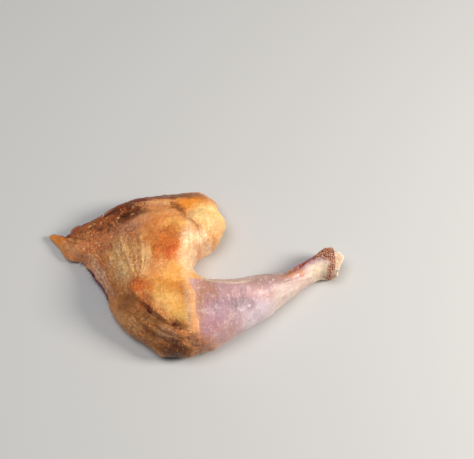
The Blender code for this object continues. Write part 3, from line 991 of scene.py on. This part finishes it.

# %% Table of folds
# dark sets the painted shade along a fold's floor, and pale the painted highlight on its lip
Fold = namedtuple("Fold", "path width slope depth lip dark pale")
FOLDS = [
    # round the flank lobe: a notch at the far end, then a thin arc
    Fold([(-16, 45), (-12, 41.5), (-9, 38.5), (-6.5, 34), (-5.6, 31)],
         0.7, 1.5, 0.35, 0.3, 0.30, 0.1),
    Fold([(-8, 32), (-4.1, 30), (-1.5, 28.4), (0.5, 26.3), (2.4, 23.7), (3.7, 20.7),
          (4.4, 17.8), (4, 12), (2.4, 9.7)],
         0.34, 1.0, 0.17, 0.16, 0.30, 0.5),
    Fold([(6.5, 20), (7.4, 16.5), (6.8, 13), (5, 10)], 0.5, 0.9, 0.25, 0.15, 0.30, 0.3),
    # under the roll at the hip
    Fold([(-62, 33), (-55.3, 36.2), (-45.4, 40.1), (-37.4, 40.8), (-31.4, 42.3), (-24.3, 42.9),
          (-17, 41.5), (-10.9, 38.5)],
         0.8, 2.4, 0.5, 0.4, 0.4, 0.4),
    # over the knee
    Fold([(-41.9, -17.6), (-39.5, -22.9), (-36.5, -26.3), (-32.4, -30.3), (-27.3, -35.4)],
         0.7, 1.4, 0.16, 0.20, 0.10, 0.2),
    Fold([(-31.5, -31.4), (-28.2, -34.4), (-25.4, -37.4), (-19.6, -42.1), (-14.6, -45.4),
          (-10.1, -47.4), (-7, -48)],
         0.40, 1.0, 0.26, 0.20, 0.65, 0.1),
    # across the knee lobe
    Fold([(-33.1, -40.3), (-28.7, -46.1), (-22.3, -49.8), (-16.6, -53.7), (-10.3, -56.9),
          (-4.1, -58.8), (0.5, -58.6)],
         0.8, 1.6, 0.45, 0.3, 0.5, 0.15),
    Fold([(-26, -42.7), (-21.6, -46.3), (-17.1, -49.5), (-12, -52.6), (-6.8, -54.4), (-0.9, -55.1)],
         0.7, 1.5, 0.35, 0.25, 0.45, 0.15),
    # creases that run out to the flap
    Fold([(-88, 30.5), (-81.8, 26), (-78.2, 24.4), (-74.8, 23), (-68, 22)],
         0.6, 1.1, 0.3, 0.3, 0.5, 0.2),
    Fold([(-84.5, 25), (-80.3, 21.9), (-74.5, 19.6)], 0.5, 0.9, 0.25, 0.2, 0.35, 0.2),
    # skin draped down the outer thigh
    Fold([(-54.4, 17.6), (-51, 8), (-48.6, -1.2), (-43, -13.8)], 0.9, 2.4, 0.35, 0.3, 0.1, 0.5),
    Fold([(-50.4, 21.7), (-46.2, 8.2), (-41.7, -4.3), (-37.9, -17.7)], 0.9, 2.4, 0.3, 0.3, 0.1, 0.5),
    Fold([(-36.2, 19.2), (-34.6, 4.4), (-33.8, -8.6)], 0.9, 2.6, 0.25, 0.25, 0.1, 0.5),
    # the edge of the thigh's thick skin on the drumstick
    Fold([(7.7, -58), (5.9, -54.4), (5, -49.7), (4.1, -44.1), (2.5, -37), (2.4, -30.8),
          (2, -24.9), (-0.1, -16)],
         0.6, 3.0, 0.35, 0.2, 0.1, 0.0),
    # tight cord of skin along the drumstick: it stands up, so its depth is below 0
    Fold([(-1, -3), (0.2, -5.5), (2.8, -9.6), (6.7, -12.4), (11.3, -15.2), (17.6, -17.4),
          (25.2, -18), (32.1, -17), (39.6, -15)],
         0.9, 0.9, -0.7, 0.0, 0.0, 0.0),
    # tendons above the shank
    Fold([(50, -8), (58.6, -3.9), (65, -1.7), (72, 2)], 0.8, 1.4, 0.5, 0.3, 0.35, 0.2),
    Fold([(56, -13), (64, -8.5), (72, -4.5), (79, -1)], 0.9, 1.6, 0.35, 0.3, 0.1, 0.2),
]
print(len(FOLDS), "folds")

# %% [markdown]
# Between two folds the skin is full of finer wrinkles that run the same way. A family of
# wrinkles fills the space between two guide paths: each wrinkle is a mix of the two guides,
# shaken a little and shortened at random. One seeded generator draws all of them.

# %% Table of wrinkle families
Family = namedtuple("Family", "first last count width depth")
FAMILIES = [
    # down the outer thigh
    Family([(-70, 17), (-63, 4), (-56, -9), (-50, -24)],
           [(-30, 20), (-27, 5), (-28, -8), (-33, -22)], 19, 0.65, 0.17),
    # along the torn edge on the left
    Family([(-72, 9), (-63.4, -1), (-57.4, -12), (-52, -23)],
           [(-66, 14), (-58, 3), (-52, -8), (-47, -20)], 8, 0.45, 0.28),
    # along the hip roll
    Family([(-70, 36), (-50, 46), (-28, 51), (-8, 51)],
           [(-70, 22), (-50, 31), (-30, 35), (-14, 34)], 11, 0.55, 0.18),
    # along the knee crease
    Family([(-46, -22), (-38, -36), (-26, -46), (-10, -52)],
           [(-42, -38), (-28, -53), (-12, -60), (4, -61)], 9, 0.6, 0.14),
    # over the pad of fat above the knee
    Family([(-38, -14), (-32, -24), (-22, -33), (-10, -38)],
           [(-40, -20), (-33, -29), (-24, -37), (-12, -43)], 6, 0.5, 0.14),
    # down the lobe, beside the crook
    Family([(-4, 20), (-2, 8), (-3, -6)], [(12, 28), (11, 17), (4, 10)], 10, 0.5, 0.16),
    # across the top of the drumstick
    Family([(7, -22), (8, -38), (12, -54)], [(26, -22), (27, -34), (31, -46)], 9, 0.6, 0.10),
    # along the shank
    Family([(48, -3), (62, 2), (78, 9)], [(50, -28), (64, -16), (80, -5)], 9, 0.6, 0.14),
]
WRINKLE_SEED = 7
WRINKLE_SHAKE = 1.1  # mm to each side
WRINKLE_BENDS = 4
ASTRAY = 0.35  # how far a wrinkle strays from its even place, in gaps between wrinkles

draw = random.Random(WRINKLE_SEED)
wrinkles = []
for family in FAMILIES:
    first = through(family.first)
    last = through(family.last)
    for number in range(family.count):
        share = (number + 0.5) / family.count + draw.uniform(-ASTRAY, ASTRAY) / family.count
        path = first * (1 - share) + last * share
        bend = [draw.uniform(-WRINKLE_SHAKE, WRINKLE_SHAKE) for _ in range(WRINKLE_BENDS)]
        places = np.linspace(0, WRINKLE_BENDS - 1, len(path))
        sway = np.interp(places, range(WRINKLE_BENDS), bend)
        start = draw.randint(0, len(path) // 3)
        stop = len(path) - draw.randint(0, len(path) // 3)
        path = (path + np.column_stack([sway, -sway]))[start:stop]
        strength = draw.uniform(0.5, 1.2)
        wrinkles.append((path, family.width * draw.uniform(0.8, 1.3), family.depth * strength))
print(len(wrinkles), "wrinkles")

# %% Raise the folds
def read(mesh, what):
    """The mesh's points or normals as an array."""
    flat = np.empty(len(mesh.vertices) * 3, np.float32)
    mesh.vertices.foreach_get(what, flat)
    return flat.reshape(-1, 3).astype(float)


def move_to(mesh, points):
    mesh.vertices.foreach_set("co", (points * MM).astype(np.float32).ravel())
    mesh.update()


def leave_mark(mesh, name, values):
    """Keeps a value from 0 to 1 for each point, for the finishes to read."""
    layer = mesh.attributes.new(name, "FLOAT", "POINT")
    layer.data.foreach_set("value", np.clip(values, 0, 1).astype(np.float32))


WANDER, WANDER_SPACING = 0.7, 7  # how far a fold strays from its drawn path, and how often
FOLD_ENDS = 0.14  # share of a fold's length over which each end fades
LIP_AT, LIP_WIDE = 1.9, 1.5  # the lip's place and half-width, in fold widths
# The dark line is painted shade along the fold's floor.
SHADE_WIDE = 0.9  # the dark line's half-width, in fold widths
WRINKLE_ENDS = 0.3  # share of a wrinkle's length over which each end fades
RIDGE_AT, RIDGE_HIGH = 1.6, 0.6  # the ridge's place in wrinkle widths, its height in depths
# Wrinkles darken their floors as painted shade and lighten their ridges as painted highlight.
WRINKLE_SHADE, WRINKLE_HIGHLIGHT = 1.5, 1.6  # how strongly a mm of depth marks the skin

data = leg_skin.data
points = pushed_points(read(data, "co") / MM, PUSHES)
normals = read(data, "normal")
strays = [uneven(points, WANDER_SPACING, seed) for seed in (1, 2)]
plan = points[:, :2] + WANDER * np.column_stack(strays)
top = past(normals[:, 2], -0.1, 0.5)
height = np.zeros(len(points))
crease = np.zeros(len(points))
lip = np.zeros(len(points))
for fold in FOLDS:
    signed, along = beside(plan, through(fold.path))
    ends = tapered(along, FOLD_ENDS)
    across = np.where(signed > 0, signed / fold.width, signed / fold.slope)
    floor_of_fold = ends * bell(across, 1)
    crest = ends * bell(signed / fold.width - LIP_AT, LIP_WIDE)
    height += fold.lip * crest - fold.depth * floor_of_fold
    # Painted shade along each fold's floor, and painted highlight on its lip.
    crease = np.maximum(crease, fold.dark * ends * bell(signed, fold.width * SHADE_WIDE))
    lip = np.maximum(lip, fold.pale * crest)
    if fold.depth < 0:
        cord = floor_of_fold
for path, width, depth in wrinkles:
    signed, along = beside(plan, path)
    ends = tapered(along, WRINKLE_ENDS)
    dip = ends * bell(signed, width)
    ridge = ends * bell(signed - RIDGE_AT * width, width)
    height += depth * (RIDGE_HIGH * ridge - dip)
    # Painted shade in each wrinkle's floor, and painted highlight on its ridge.
    crease = np.maximum(crease, WRINKLE_SHADE * depth * dip)
    lip = np.maximum(lip, WRINKLE_HIGHLIGHT * depth * ridge)
print("folds raise up to", round(height.max(), 2), "and sink to", round(height.min(), 2), "mm")

# %% [markdown]
# Under the skin lie fat and muscle. Two sizes of slow noise make it swell and sink. The fat on
# the thigh is lumpy, and the thin skin of the drumstick is nearly smooth.

# %% Film and lumps
FILM_EDGE = [(60, 14), (32, 3), (18, -8), (9, -12.5), (3.5, -13), (-1.8, -15), (-0.8, -20),
             (2, -24.9), (2.4, -30.8), (2.5, -37), (4.1, -44.1), (5, -49.7), (7.5, -52.5),
             (13, -54), (20, -53.2), (27, -51.5), (34, -60), (38, -70)]
FILM_FADE, KNEE_FADE = 1.5, 4  # mm over which the thick skin thins out, and how much more at the knee
KNEE_PATCH = Patch((-18, -49), (30, 10), -30, 1.25, 0.4)
LUMPS = [Lump(0.34, 5.5, 3, 3), Lump(0.45, 14, 4, 1), Lump(0.14, 2.2, 5, 2)]
KNEE_LUMPS = Lump(0.16, 1.5, 21, 1)
FILM_SMOOTHS = 0.6  # how much of the lumps the thin skin takes away

signed, along = beside(plan, FILM_EDGE)
film = eased(0.5 + signed / (FILM_FADE + KNEE_FADE * past(points[:, 1], -38, -14)))
knee = covered(plan, KNEE_PATCH) * (1 - film)
height = height * top + sum(lumpy(points, lump) for lump in LUMPS) * (1 - FILM_SMOOTHS * film)
height += knee * lumpy(points, KNEE_LUMPS)
print("film on", round(100 * float(film.mean())), "% of the points")

# %% Torn edges and bare meat
SKIN_EDGE = [(-71.5, 8), (-67, 2.2), (-63.1, -3.7), (-60.9, -7.0), (-58.7, -11.1), (-56.5, -15.2),
             (-54.6, -19.4), (-53, -25)]
HIP_RIM = [(-88, 31), (-80, 33), (-66, 38), (-52, 45), (-36, 52), (-18, 57), (-2, 58)]
RAGGED = Lump(1.2, 5, 6, 3)  # how the torn edge strays, in mm
EDGE_ENDS = 0.12  # share of a torn edge's length over which each end fades
MEAT_DEEP, MEAT_HIGH = -9, 5.5  # how far in the side's meat goes, and how high the hip's, in mm
MEAT_SINKS = 0.8
UNDER_PATCH = Patch((-39, 4), (36, 24), 38, 1.02, 0.05)
MEAT_LUMPS = Lump(0.25, 1.6, 8, 2)

ragged = lumpy(points, RAGGED)
signed, along = beside(plan, SKIN_EDGE)
side_meat = past(signed, 0.5 * ragged, -0.6) * tapered(along, EDGE_ENDS) * (signed > MEAT_DEEP)
rim, along = beside(plan, HIP_RIM)
hip_meat = past(np.abs(rim), 7, -3) * past(along, 0.16, EDGE_ENDS) * past(along, 1, -EDGE_ENDS)
hip_meat *= past(points[:, 2], MEAT_HIGH + 2 * ragged, -0.8) * past(normals[:, 2], 0.35, -0.3)
under = past(normals[:, 2], -0.2, -0.3)
bare = covered(plan, UNDER_PATCH._replace(reach=UNDER_PATCH.reach + 0.04 * ragged)) * under
meat = np.maximum.reduce([side_meat, hip_meat, bare])
hem = np.clip(4 * meat * (1 - meat), 0, 1)
height -= MEAT_SINKS * np.maximum(side_meat, hip_meat)
height += meat * lumpy(points, MEAT_LUMPS)
print("bare meat on", round(100 * float(meat.mean()), 1), "% of the points")

# %% Regions for the finishes
BAND = [Patch((-55, 33), (24, 6), 24, 1.5, 0.7), Patch((-10, 40), (6, 2.5), -38, 1.4, 0.6)]
RUDDY = [
    Patch((-17, 10), (12, 18), -8, 1.3, 0.7),
    Patch((-33, -23), (12, 8), -35, 1.3, 0.6),
    Patch((9, 20), (5, 9), 20, 1.3, 0.6, 0.5),
]
DRAPE = [Patch((-52, 4), (20, 27), 14, 1.25, 0.4)]
BRUISES = [
    Patch((-26.4, -36.4), (2.6, 1.0), -45, 1.5, 1.0),
    Patch((-10.6, -46.6), (1.5, 1.0), 30, 1.5, 1.0),
]
HOCK_AT, HOCK_SLANT = 85.6, 6  # where the scales begin, and how much sooner on the far side

x, y, z = points.T
up = normals[:, 2]
hock_start = HOCK_AT - HOCK_SLANT * past(y, 2, 5)
turned = 0.7 * past(up, -0.05, -0.3) * past(y, -30, -8) * past(x, 34, -10)
turned = np.maximum(turned, past(up, 0.35, -0.3) * past(x, -76, -4))
scaly = past(x, hock_start - 1.6 * ragged, 2.5) * past(z, 0.6, 0.8)
marks = {
    # crease is painted shade, and lip is painted highlight
    "crease": crease * top * (1 - meat),
    "lip": lip * top,
    "film": film,
    "meat": meat,
    "hem": 0.7 * hem,
    "scaly": scaly,
    "band": covered(plan, *BAND) * top,
    "ruddy": covered(plan, *RUDDY) * (1 - film),
    "drape": covered(plan, *DRAPE) * (1 - film),
    "knee": knee,
    "goose": (0.3 + 0.3 * film + 0.7 * knee) * top * (1 - scaly) * (1 - meat),
    "turned": np.maximum(turned * (1 - under), 0.8 * cord),
    # painted shade where the skin faces away, on the far side of the hip
    "far_side_shade": past(normals[:, 1], 0.42, 0.25) * past(x, -16, -22) * (1 - meat),
    "bruise": covered(plan, *BRUISES) * top,
}

points += normals * height[:, None]
points[:, 2] = np.maximum(points[:, 2], 0)
move_to(data, points)
for name, values in marks.items():
    leave_mark(data, name, values)
print("marks left:", ", ".join(marks))

# %% [markdown]
# ## Goose flesh
#
# Where a feather sat, a plucked skin keeps a small bump. They stand evenly but not in rows, so
# they could not be drawn as a grid. Geometry Nodes scatter points that keep their distance from
# each other, and raise the skin near each point, as high as the mark `goose` says. The same tree
# stores how near each point of the mesh is to a bump, and the finish lightens the bumps by it as
# a painted highlight.

# %% Geometry helpers
GEOMETRY, MATERIAL, INTEGER = "NodeSocketGeometry", "NodeSocketMaterial", "NodeSocketInt"


def carried(tree, name, kind="FLOAT"):
    """A value that the mesh carries under this name."""
    node = add(tree, "GeometryNodeInputNamedAttribute", {"Name": name}, data_type=kind)
    return node.outputs["Attribute"]


def kept(tree, geometry, name, value, domain):
    """The geometry, with the value kept on it under this name."""
    sockets = {"Geometry": geometry, "Name": name, "Value": value}
    settings = {"data_type": "FLOAT", "domain": domain}
    return add(tree, "GeometryNodeStoreNamedAttribute", sockets, **settings).outputs[0]


def scattered(tree, entry, most, **sockets):
    """Points on the skin that keep their distance from each other."""
    sockets = {
        "Mesh": entry["Skin"],
        "Distance Min": entry["Spacing"],
        "Density Max": most,
        "Seed": entry["Seed"],
        **spaced(sockets),
    }
    kind = "GeometryNodeDistributePointsOnFaces"
    return add(tree, kind, sockets, distribute_method="POISSON").outputs


def dressed(tree, geometry, finish):
    """The end of a tree: instances turned into real mesh, with their material."""
    real = add(tree, "GeometryNodeRealizeInstances", {0: geometry}).outputs[0]
    return add(tree, "GeometryNodeSetMaterial", {0: real, "Material": finish}).outputs[0]


def random_value(tree, low, high, seed):
    sockets = {2: low, 3: high, "Seed": seed}
    return add(tree, "FunctionNodeRandomValue", sockets, data_type="FLOAT").outputs[1]


print("geometry helpers ready")

# %% Geometry nodes: goose flesh
MOST_BUMPS = 4e5  # to a square metre, far more than their spacing lets through

goose_tree, entry, leave = new_group(
    "goose_flesh",
    [
        ("Skin", GEOMETRY, None),
        ("Spacing", VALUE, 0.0034),
        ("Bump width", VALUE, 0.0011),
        ("Bump height", VALUE, 0.0002),
        ("Seed", INTEGER, 3),
        ("Finish", MATERIAL, None),
    ],
    [("Skin", GEOMETRY)],
    "GeometryNodeTree",
)
bumps = scattered(goose_tree, entry, MOST_BUMPS)["Points"]
nearest = add(goose_tree, "GeometryNodeProximity", {0: bumps}, target_element="POINTS").outputs
falls = ranged(goose_tree, nearest["Distance"], 0.0, entry["Bump width"], 1.0, 0.0)
amount = times(goose_tree, falls, carried(goose_tree, "goose"))
rise_by = times(goose_tree, amount, entry["Bump height"])
normal = add(goose_tree, "GeometryNodeInputNormal").outputs[0]
offset = vector_sum(goose_tree, "SCALE", normal, rise_by)
# The finish lightens the skin by this value: a painted highlight on each bump.
stored = kept(goose_tree, entry["Skin"], "follicle", amount, "POINT")
sockets = {"Geometry": stored, "Offset": offset}
moved = add(goose_tree, "GeometryNodeSetPosition", sockets).outputs[0]
give(goose_tree, leave, Skin=dressed(goose_tree, moved, entry["Finish"]))

# %% Apply the goose flesh
def run_tree(piece, tree, **values):
    """Puts the tree on the piece with these inputs, and keeps the result as a plain mesh."""
    modifier = piece.modifiers.new(tree.name, "NODES")
    modifier.node_group = tree
    wanted = spaced(values)
    for item in tree.interface.items_tree:
        if item.in_out == "INPUT" and item.name in wanted:
            modifier[item.identifier] = wanted.pop(item.name)
    if wanted:
        raise ValueError(f"{tree.name} has no input {sorted(wanted)}")
    return settle(piece)


GOOSE = {"Spacing": 3.4 * MM, "Bump_width": 1.2 * MM, "Bump_height": 0.22 * MM, "Seed": 3}
run_tree(leg_skin, goose_tree, Finish=skin, **GOOSE)
leg_skin.data.shade_smooth()
print("goose flesh on", len(leg_skin.data.vertices), "points")

# %% [markdown]
# ## The knuckle
#
# The end of the shank bone has two heads with a groove between them, under a cap of gristle, and
# the knife left flat faces on it. The solid has the heads. Remeshing makes it fine enough to press
# flat against the plane of each cut, and for small lumps and pits, which slow and fast noise
# raise. The part inside the leg is cut off, since nothing shows it.

# %% Knuckle piece
KNUCKLE_FROM = 80
KNUCKLE_VOXEL, KNUCKLE_ROUNDS = 0.4, 6
KNUCKLE_SWELL = 0.9
KNUCKLE_LUMPS = Lump(0.25, 4, 11, 3)
KNUCKLE_PITS = Lump(0.10, 1.3, 12, 2)
ROSY_UP_TO, ROSY_EDGE = 91.8, Lump(1.5, 3, 13, 1)  # where the flush ends, and how it strays
TIP = (98.1, 9.3)  # the corner where the two cut faces meet, from above
FACETS = [  # a point on each flat face of the joint, and the way that it faces
    ((*TIP, 13), (0.64, 0.76, 0.02)),
    ((*TIP, 13), (0.92, -0.36, -0.16)),
    ((96, 9, 14.2), (0.42, -0.10, 0.90)),
    ((93, 14, 12), (0.10, 0.80, 0.60)),
    ((92, -2.4, 9), (0.15, -0.96, 0.20)),
]
NUB = Push((92.9, -1.6, 8.6), 1.6, (0.9, -1.2, 0.5))

mesh = merged("bone")
keep_beyond(mesh, KNUCKLE_FROM, 1)
knuckle = new_piece("knuckle", mesh)
remesh(knuckle, KNUCKLE_VOXEL, KNUCKLE_ROUNDS)
points = read(knuckle.data, "co") / MM
normals = read(knuckle.data, "normal")
points += normals * (KNUCKLE_SWELL + lumpy(points, KNUCKLE_LUMPS))[:, None]
beyond = []
for spot, faces in FACETS:
    faces = np.array(faces) / np.linalg.norm(faces)
    over = (points - spot) @ faces
    points -= np.maximum(over, 0)[:, None] * faces
    beyond.append(over)
beyond = np.sort(beyond, axis=0)
edges = past(beyond[-1], -0.30, 0.3) * past(beyond[-2], -0.45, 0.4)
points = pushed_points(points, [NUB])
points += normals * lumpy(points, KNUCKLE_PITS)[:, None]
points[:, 0] = np.minimum(points[:, 0], cad_box[1].x / MM)
points[:, 2] = np.maximum(points[:, 2], 0)
move_to(knuckle.data, points)
leave_mark(knuckle.data, "rosy", past(points[:, 0], ROSY_UP_TO + lumpy(points, ROSY_EDGE), -3))
leave_mark(knuckle.data, "edges", edges)
knuckle.data.materials.append(cartilage)
knuckle.data.shade_smooth()
print("knuckle:", len(knuckle.data.polygons), "faces")

# %% [markdown]
# ## Scales on the hock
#
# The skin of the foot begins at the hock: small horny scales that sit close together. They
# repeat, so Geometry Nodes make them. Points are scattered a scale's width apart where the skin
# carries the `scaly` mark, and each gets a low dome, turned to the skin, with its own size and
# tint. A bump texture would look the same from above, but it would leave the outline smooth.

# %% Geometry nodes: scales
MOST_SCALES = 3e6  # to a square metre
SCALE_SIZES = (0.75, 1.2)  # the smallest and the largest, as shares of the scale's width
TINT_SEED = 9

scale_tree, entry, leave = new_group(
    "hock_scales",
    [
        ("Skin", GEOMETRY, None),
        ("Spacing", VALUE, 0.0013),
        ("Width", VALUE, 0.0008),
        ("Height", VALUE, 0.0003),
        ("Seed", INTEGER, 5),
        ("Finish", MATERIAL, None),
    ],
    [("Scales", GEOMETRY)],
    "GeometryNodeTree",
)
where = carried(scale_tree, "scaly")
spots = scattered(scale_tree, entry, MOST_SCALES, Density_Factor=where)
sockets = {"Segments": 8, "Rings": 5, "Radius": 1.0}
dome = add(scale_tree, "GeometryNodeMeshUVSphere", sockets).outputs["Mesh"]
sockets = {"X": entry["Width"], "Y": entry["Width"], "Z": entry["Height"]}
wide = add(scale_tree, "ShaderNodeCombineXYZ", sockets).outputs[0]
luck = random_value(scale_tree, *SCALE_SIZES, entry["Seed"])
sized = vector_sum(scale_tree, "SCALE", wide, luck)
sockets = {"Points": spots["Points"], "Instance": dome, "Rotation": spots["Rotation"], "Scale": sized}
placed = add(scale_tree, "GeometryNodeInstanceOnPoints", sockets).outputs[0]
tint = random_value(scale_tree, 0.0, 1.0, TINT_SEED)
tinted = kept(scale_tree, placed, "tint", tint, "INSTANCE")
give(scale_tree, leave, Scales=dressed(scale_tree, tinted, entry["Finish"]))

# %% Apply the scales
SCALES = {"Spacing": 1.15 * MM, "Width": 0.62 * MM, "Height": 0.30 * MM, "Seed": 5}
hock_scales = bpy.data.objects.new("hock_scales", leg_skin.data.copy())
scene.collection.objects.link(hock_scales)
run_tree(hock_scales, scale_tree, Finish=horn, **SCALES)
hock_scales.data.shade_smooth()
print("scales:", len(hock_scales.data.polygons), "faces")

# %% [markdown]
# ## Quills and shreds
#
# A few pin feathers stay behind when a bird is plucked, and thin white shreds hang on the cut
# edge of the skin. Each is a short bent tube that tapers to nothing. One tree makes both from a
# list of roots, with the length and thickness as inputs.

# %% Geometry nodes: tapered strands
BEND = {"Start": (0, 0, 0), "Middle": (0.25, 0, 0.55), "End": (0.1, 0.15, 1.0)}
STRAND_STEPS = 6  # along it, and round it
STRAND_SIZES = (0.6, 1.3)  # the smallest and the largest, as shares of the whole
TIP_SHARE = 0.15  # the tip's thickness, as a share of the root's

strand_tree, entry, leave = new_group(
    "strands",
    [
        ("Roots", GEOMETRY, None),
        ("Length", VALUE, 0.003),
        ("Thickness", VALUE, 0.0004),
        ("Seed", INTEGER, 2),
        ("Finish", MATERIAL, None),
    ],
    [("Strands", GEOMETRY)],
    "GeometryNodeTree",
)
sockets = {"Resolution": STRAND_STEPS, **BEND}
line = add(strand_tree, "GeometryNodeCurveQuadraticBezier", sockets).outputs[0]
sides = dict.fromkeys("XYZ", entry["Length"])
long = add(strand_tree, "ShaderNodeCombineXYZ", sides).outputs[0]
line = add(strand_tree, "GeometryNodeTransform", {"Geometry": line, "Scale": long}).outputs[0]
run = add(strand_tree, "GeometryNodeSplineParameter").outputs["Factor"]
tip = times(strand_tree, entry["Thickness"], TIP_SHARE)
taper = ranged(strand_tree, run, 0.0, 1.0, entry["Thickness"], tip, "LINEAR")
sockets = {"Resolution": STRAND_STEPS, "Radius": 1.0}
ring = add(strand_tree, "GeometryNodeCurvePrimitiveCircle", sockets).outputs[0]
sockets = {"Curve": line, "Profile Curve": ring, "Scale": taper, "Fill Caps": True}
tube = add(strand_tree, "GeometryNodeCurveToMesh", sockets).outputs[0]
sockets = {"Vector": carried(strand_tree, "lean", "FLOAT_VECTOR")}
aimed = add(strand_tree, "FunctionNodeAlignRotationToVector", sockets, axis="Z").outputs[0]
luck = random_value(strand_tree, *STRAND_SIZES, entry["Seed"])
sockets = {"Points": entry["Roots"], "Instance": tube, "Rotation": aimed, "Scale": luck}
placed = add(strand_tree, "GeometryNodeInstanceOnPoints", sockets).outputs[0]
give(strand_tree, leave, Strands=dressed(strand_tree, placed, entry["Finish"]))

# %% Apply the strands
QUILLS = [(-5, 59), (-22, 56), (-19, 57), (-30, 53), (-44, 48), (4, 55), (-60, 38)]
SHREDS = [(-71, 5), (-69.5, 2), (-67.5, 0), (-66, -3), (-75, 9), (-58, -16), (-51, -30)]
HIGH_COUNTS = 0.05  # how many mm nearer a point seems for each mm that it lies higher
skin_points = read(leg_skin.data, "co") / MM
skin_normals = read(leg_skin.data, "normal")


def roots(name, spots, out):
    """A mesh of loose points on the skin nearest above each spot, leaning out by that much."""
    found = []
    leans = []
    for spot in spots:
        away = np.hypot(*(skin_points[:, :2] - spot).T) - HIGH_COUNTS * skin_points[:, 2]
        index = int(np.argmin(away))
        found.append(skin_points[index] * MM)
        leans.append(skin_normals[index] + np.array(out))
    data = bpy.data.meshes.new(name)
    data.from_pydata(found, [], [])
    layer = data.attributes.new("lean", "FLOAT_VECTOR", "POINT")
    layer.data.foreach_set("vector", np.array(leans, np.float32).ravel())
    piece = bpy.data.objects.new(name, data)
    scene.collection.objects.link(piece)
    return piece


quills = roots("quills", QUILLS, (0.1, 0.2, 0.5))
run_tree(quills, strand_tree, Length=3.0 * MM, Thickness=0.22 * MM, Seed=2, Finish=quill)
shreds = roots("shreds", SHREDS, (-0.8, -0.5, -0.3))
run_tree(shreds, strand_tree, Length=3.2 * MM, Thickness=0.32 * MM, Seed=4, Finish=quill)
for piece in (quills, shreds):
    piece.data.shade_smooth()
print("strands:", len(quills.data.polygons) + len(shreds.data.polygons), "faces")

# %% [markdown]
# ## Fit the pieces to the frame
#
# The leg has no joint, so every piece rides on its one body. The skin and the knuckle stand for
# the two solids, which are then hidden. The last lines write the size of the solids and of the
# finished leg, to compare them.

# %% Ride, replace and measure
PIECES = {
    leg_skin: ("skin", "leg"),
    knuckle: ("cartilage", "bone"),
    hock_scales: ("skin", None),
    quills: ("skin", None),
    shreds: ("skin", None),
}
for piece, (slot, node) in PIECES.items():
    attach(piece, "root")
    if node:
        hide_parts(node)
visual_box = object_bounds()
sizes = {"cad": [list(corner) for corner in cad_box], "visual": [list(corner) for corner in visual_box]}
for name, (low, high) in sizes.items():
    print(name, "box in mm:", [round((b - a) / MM, 1) for a, b in zip(low, high)])
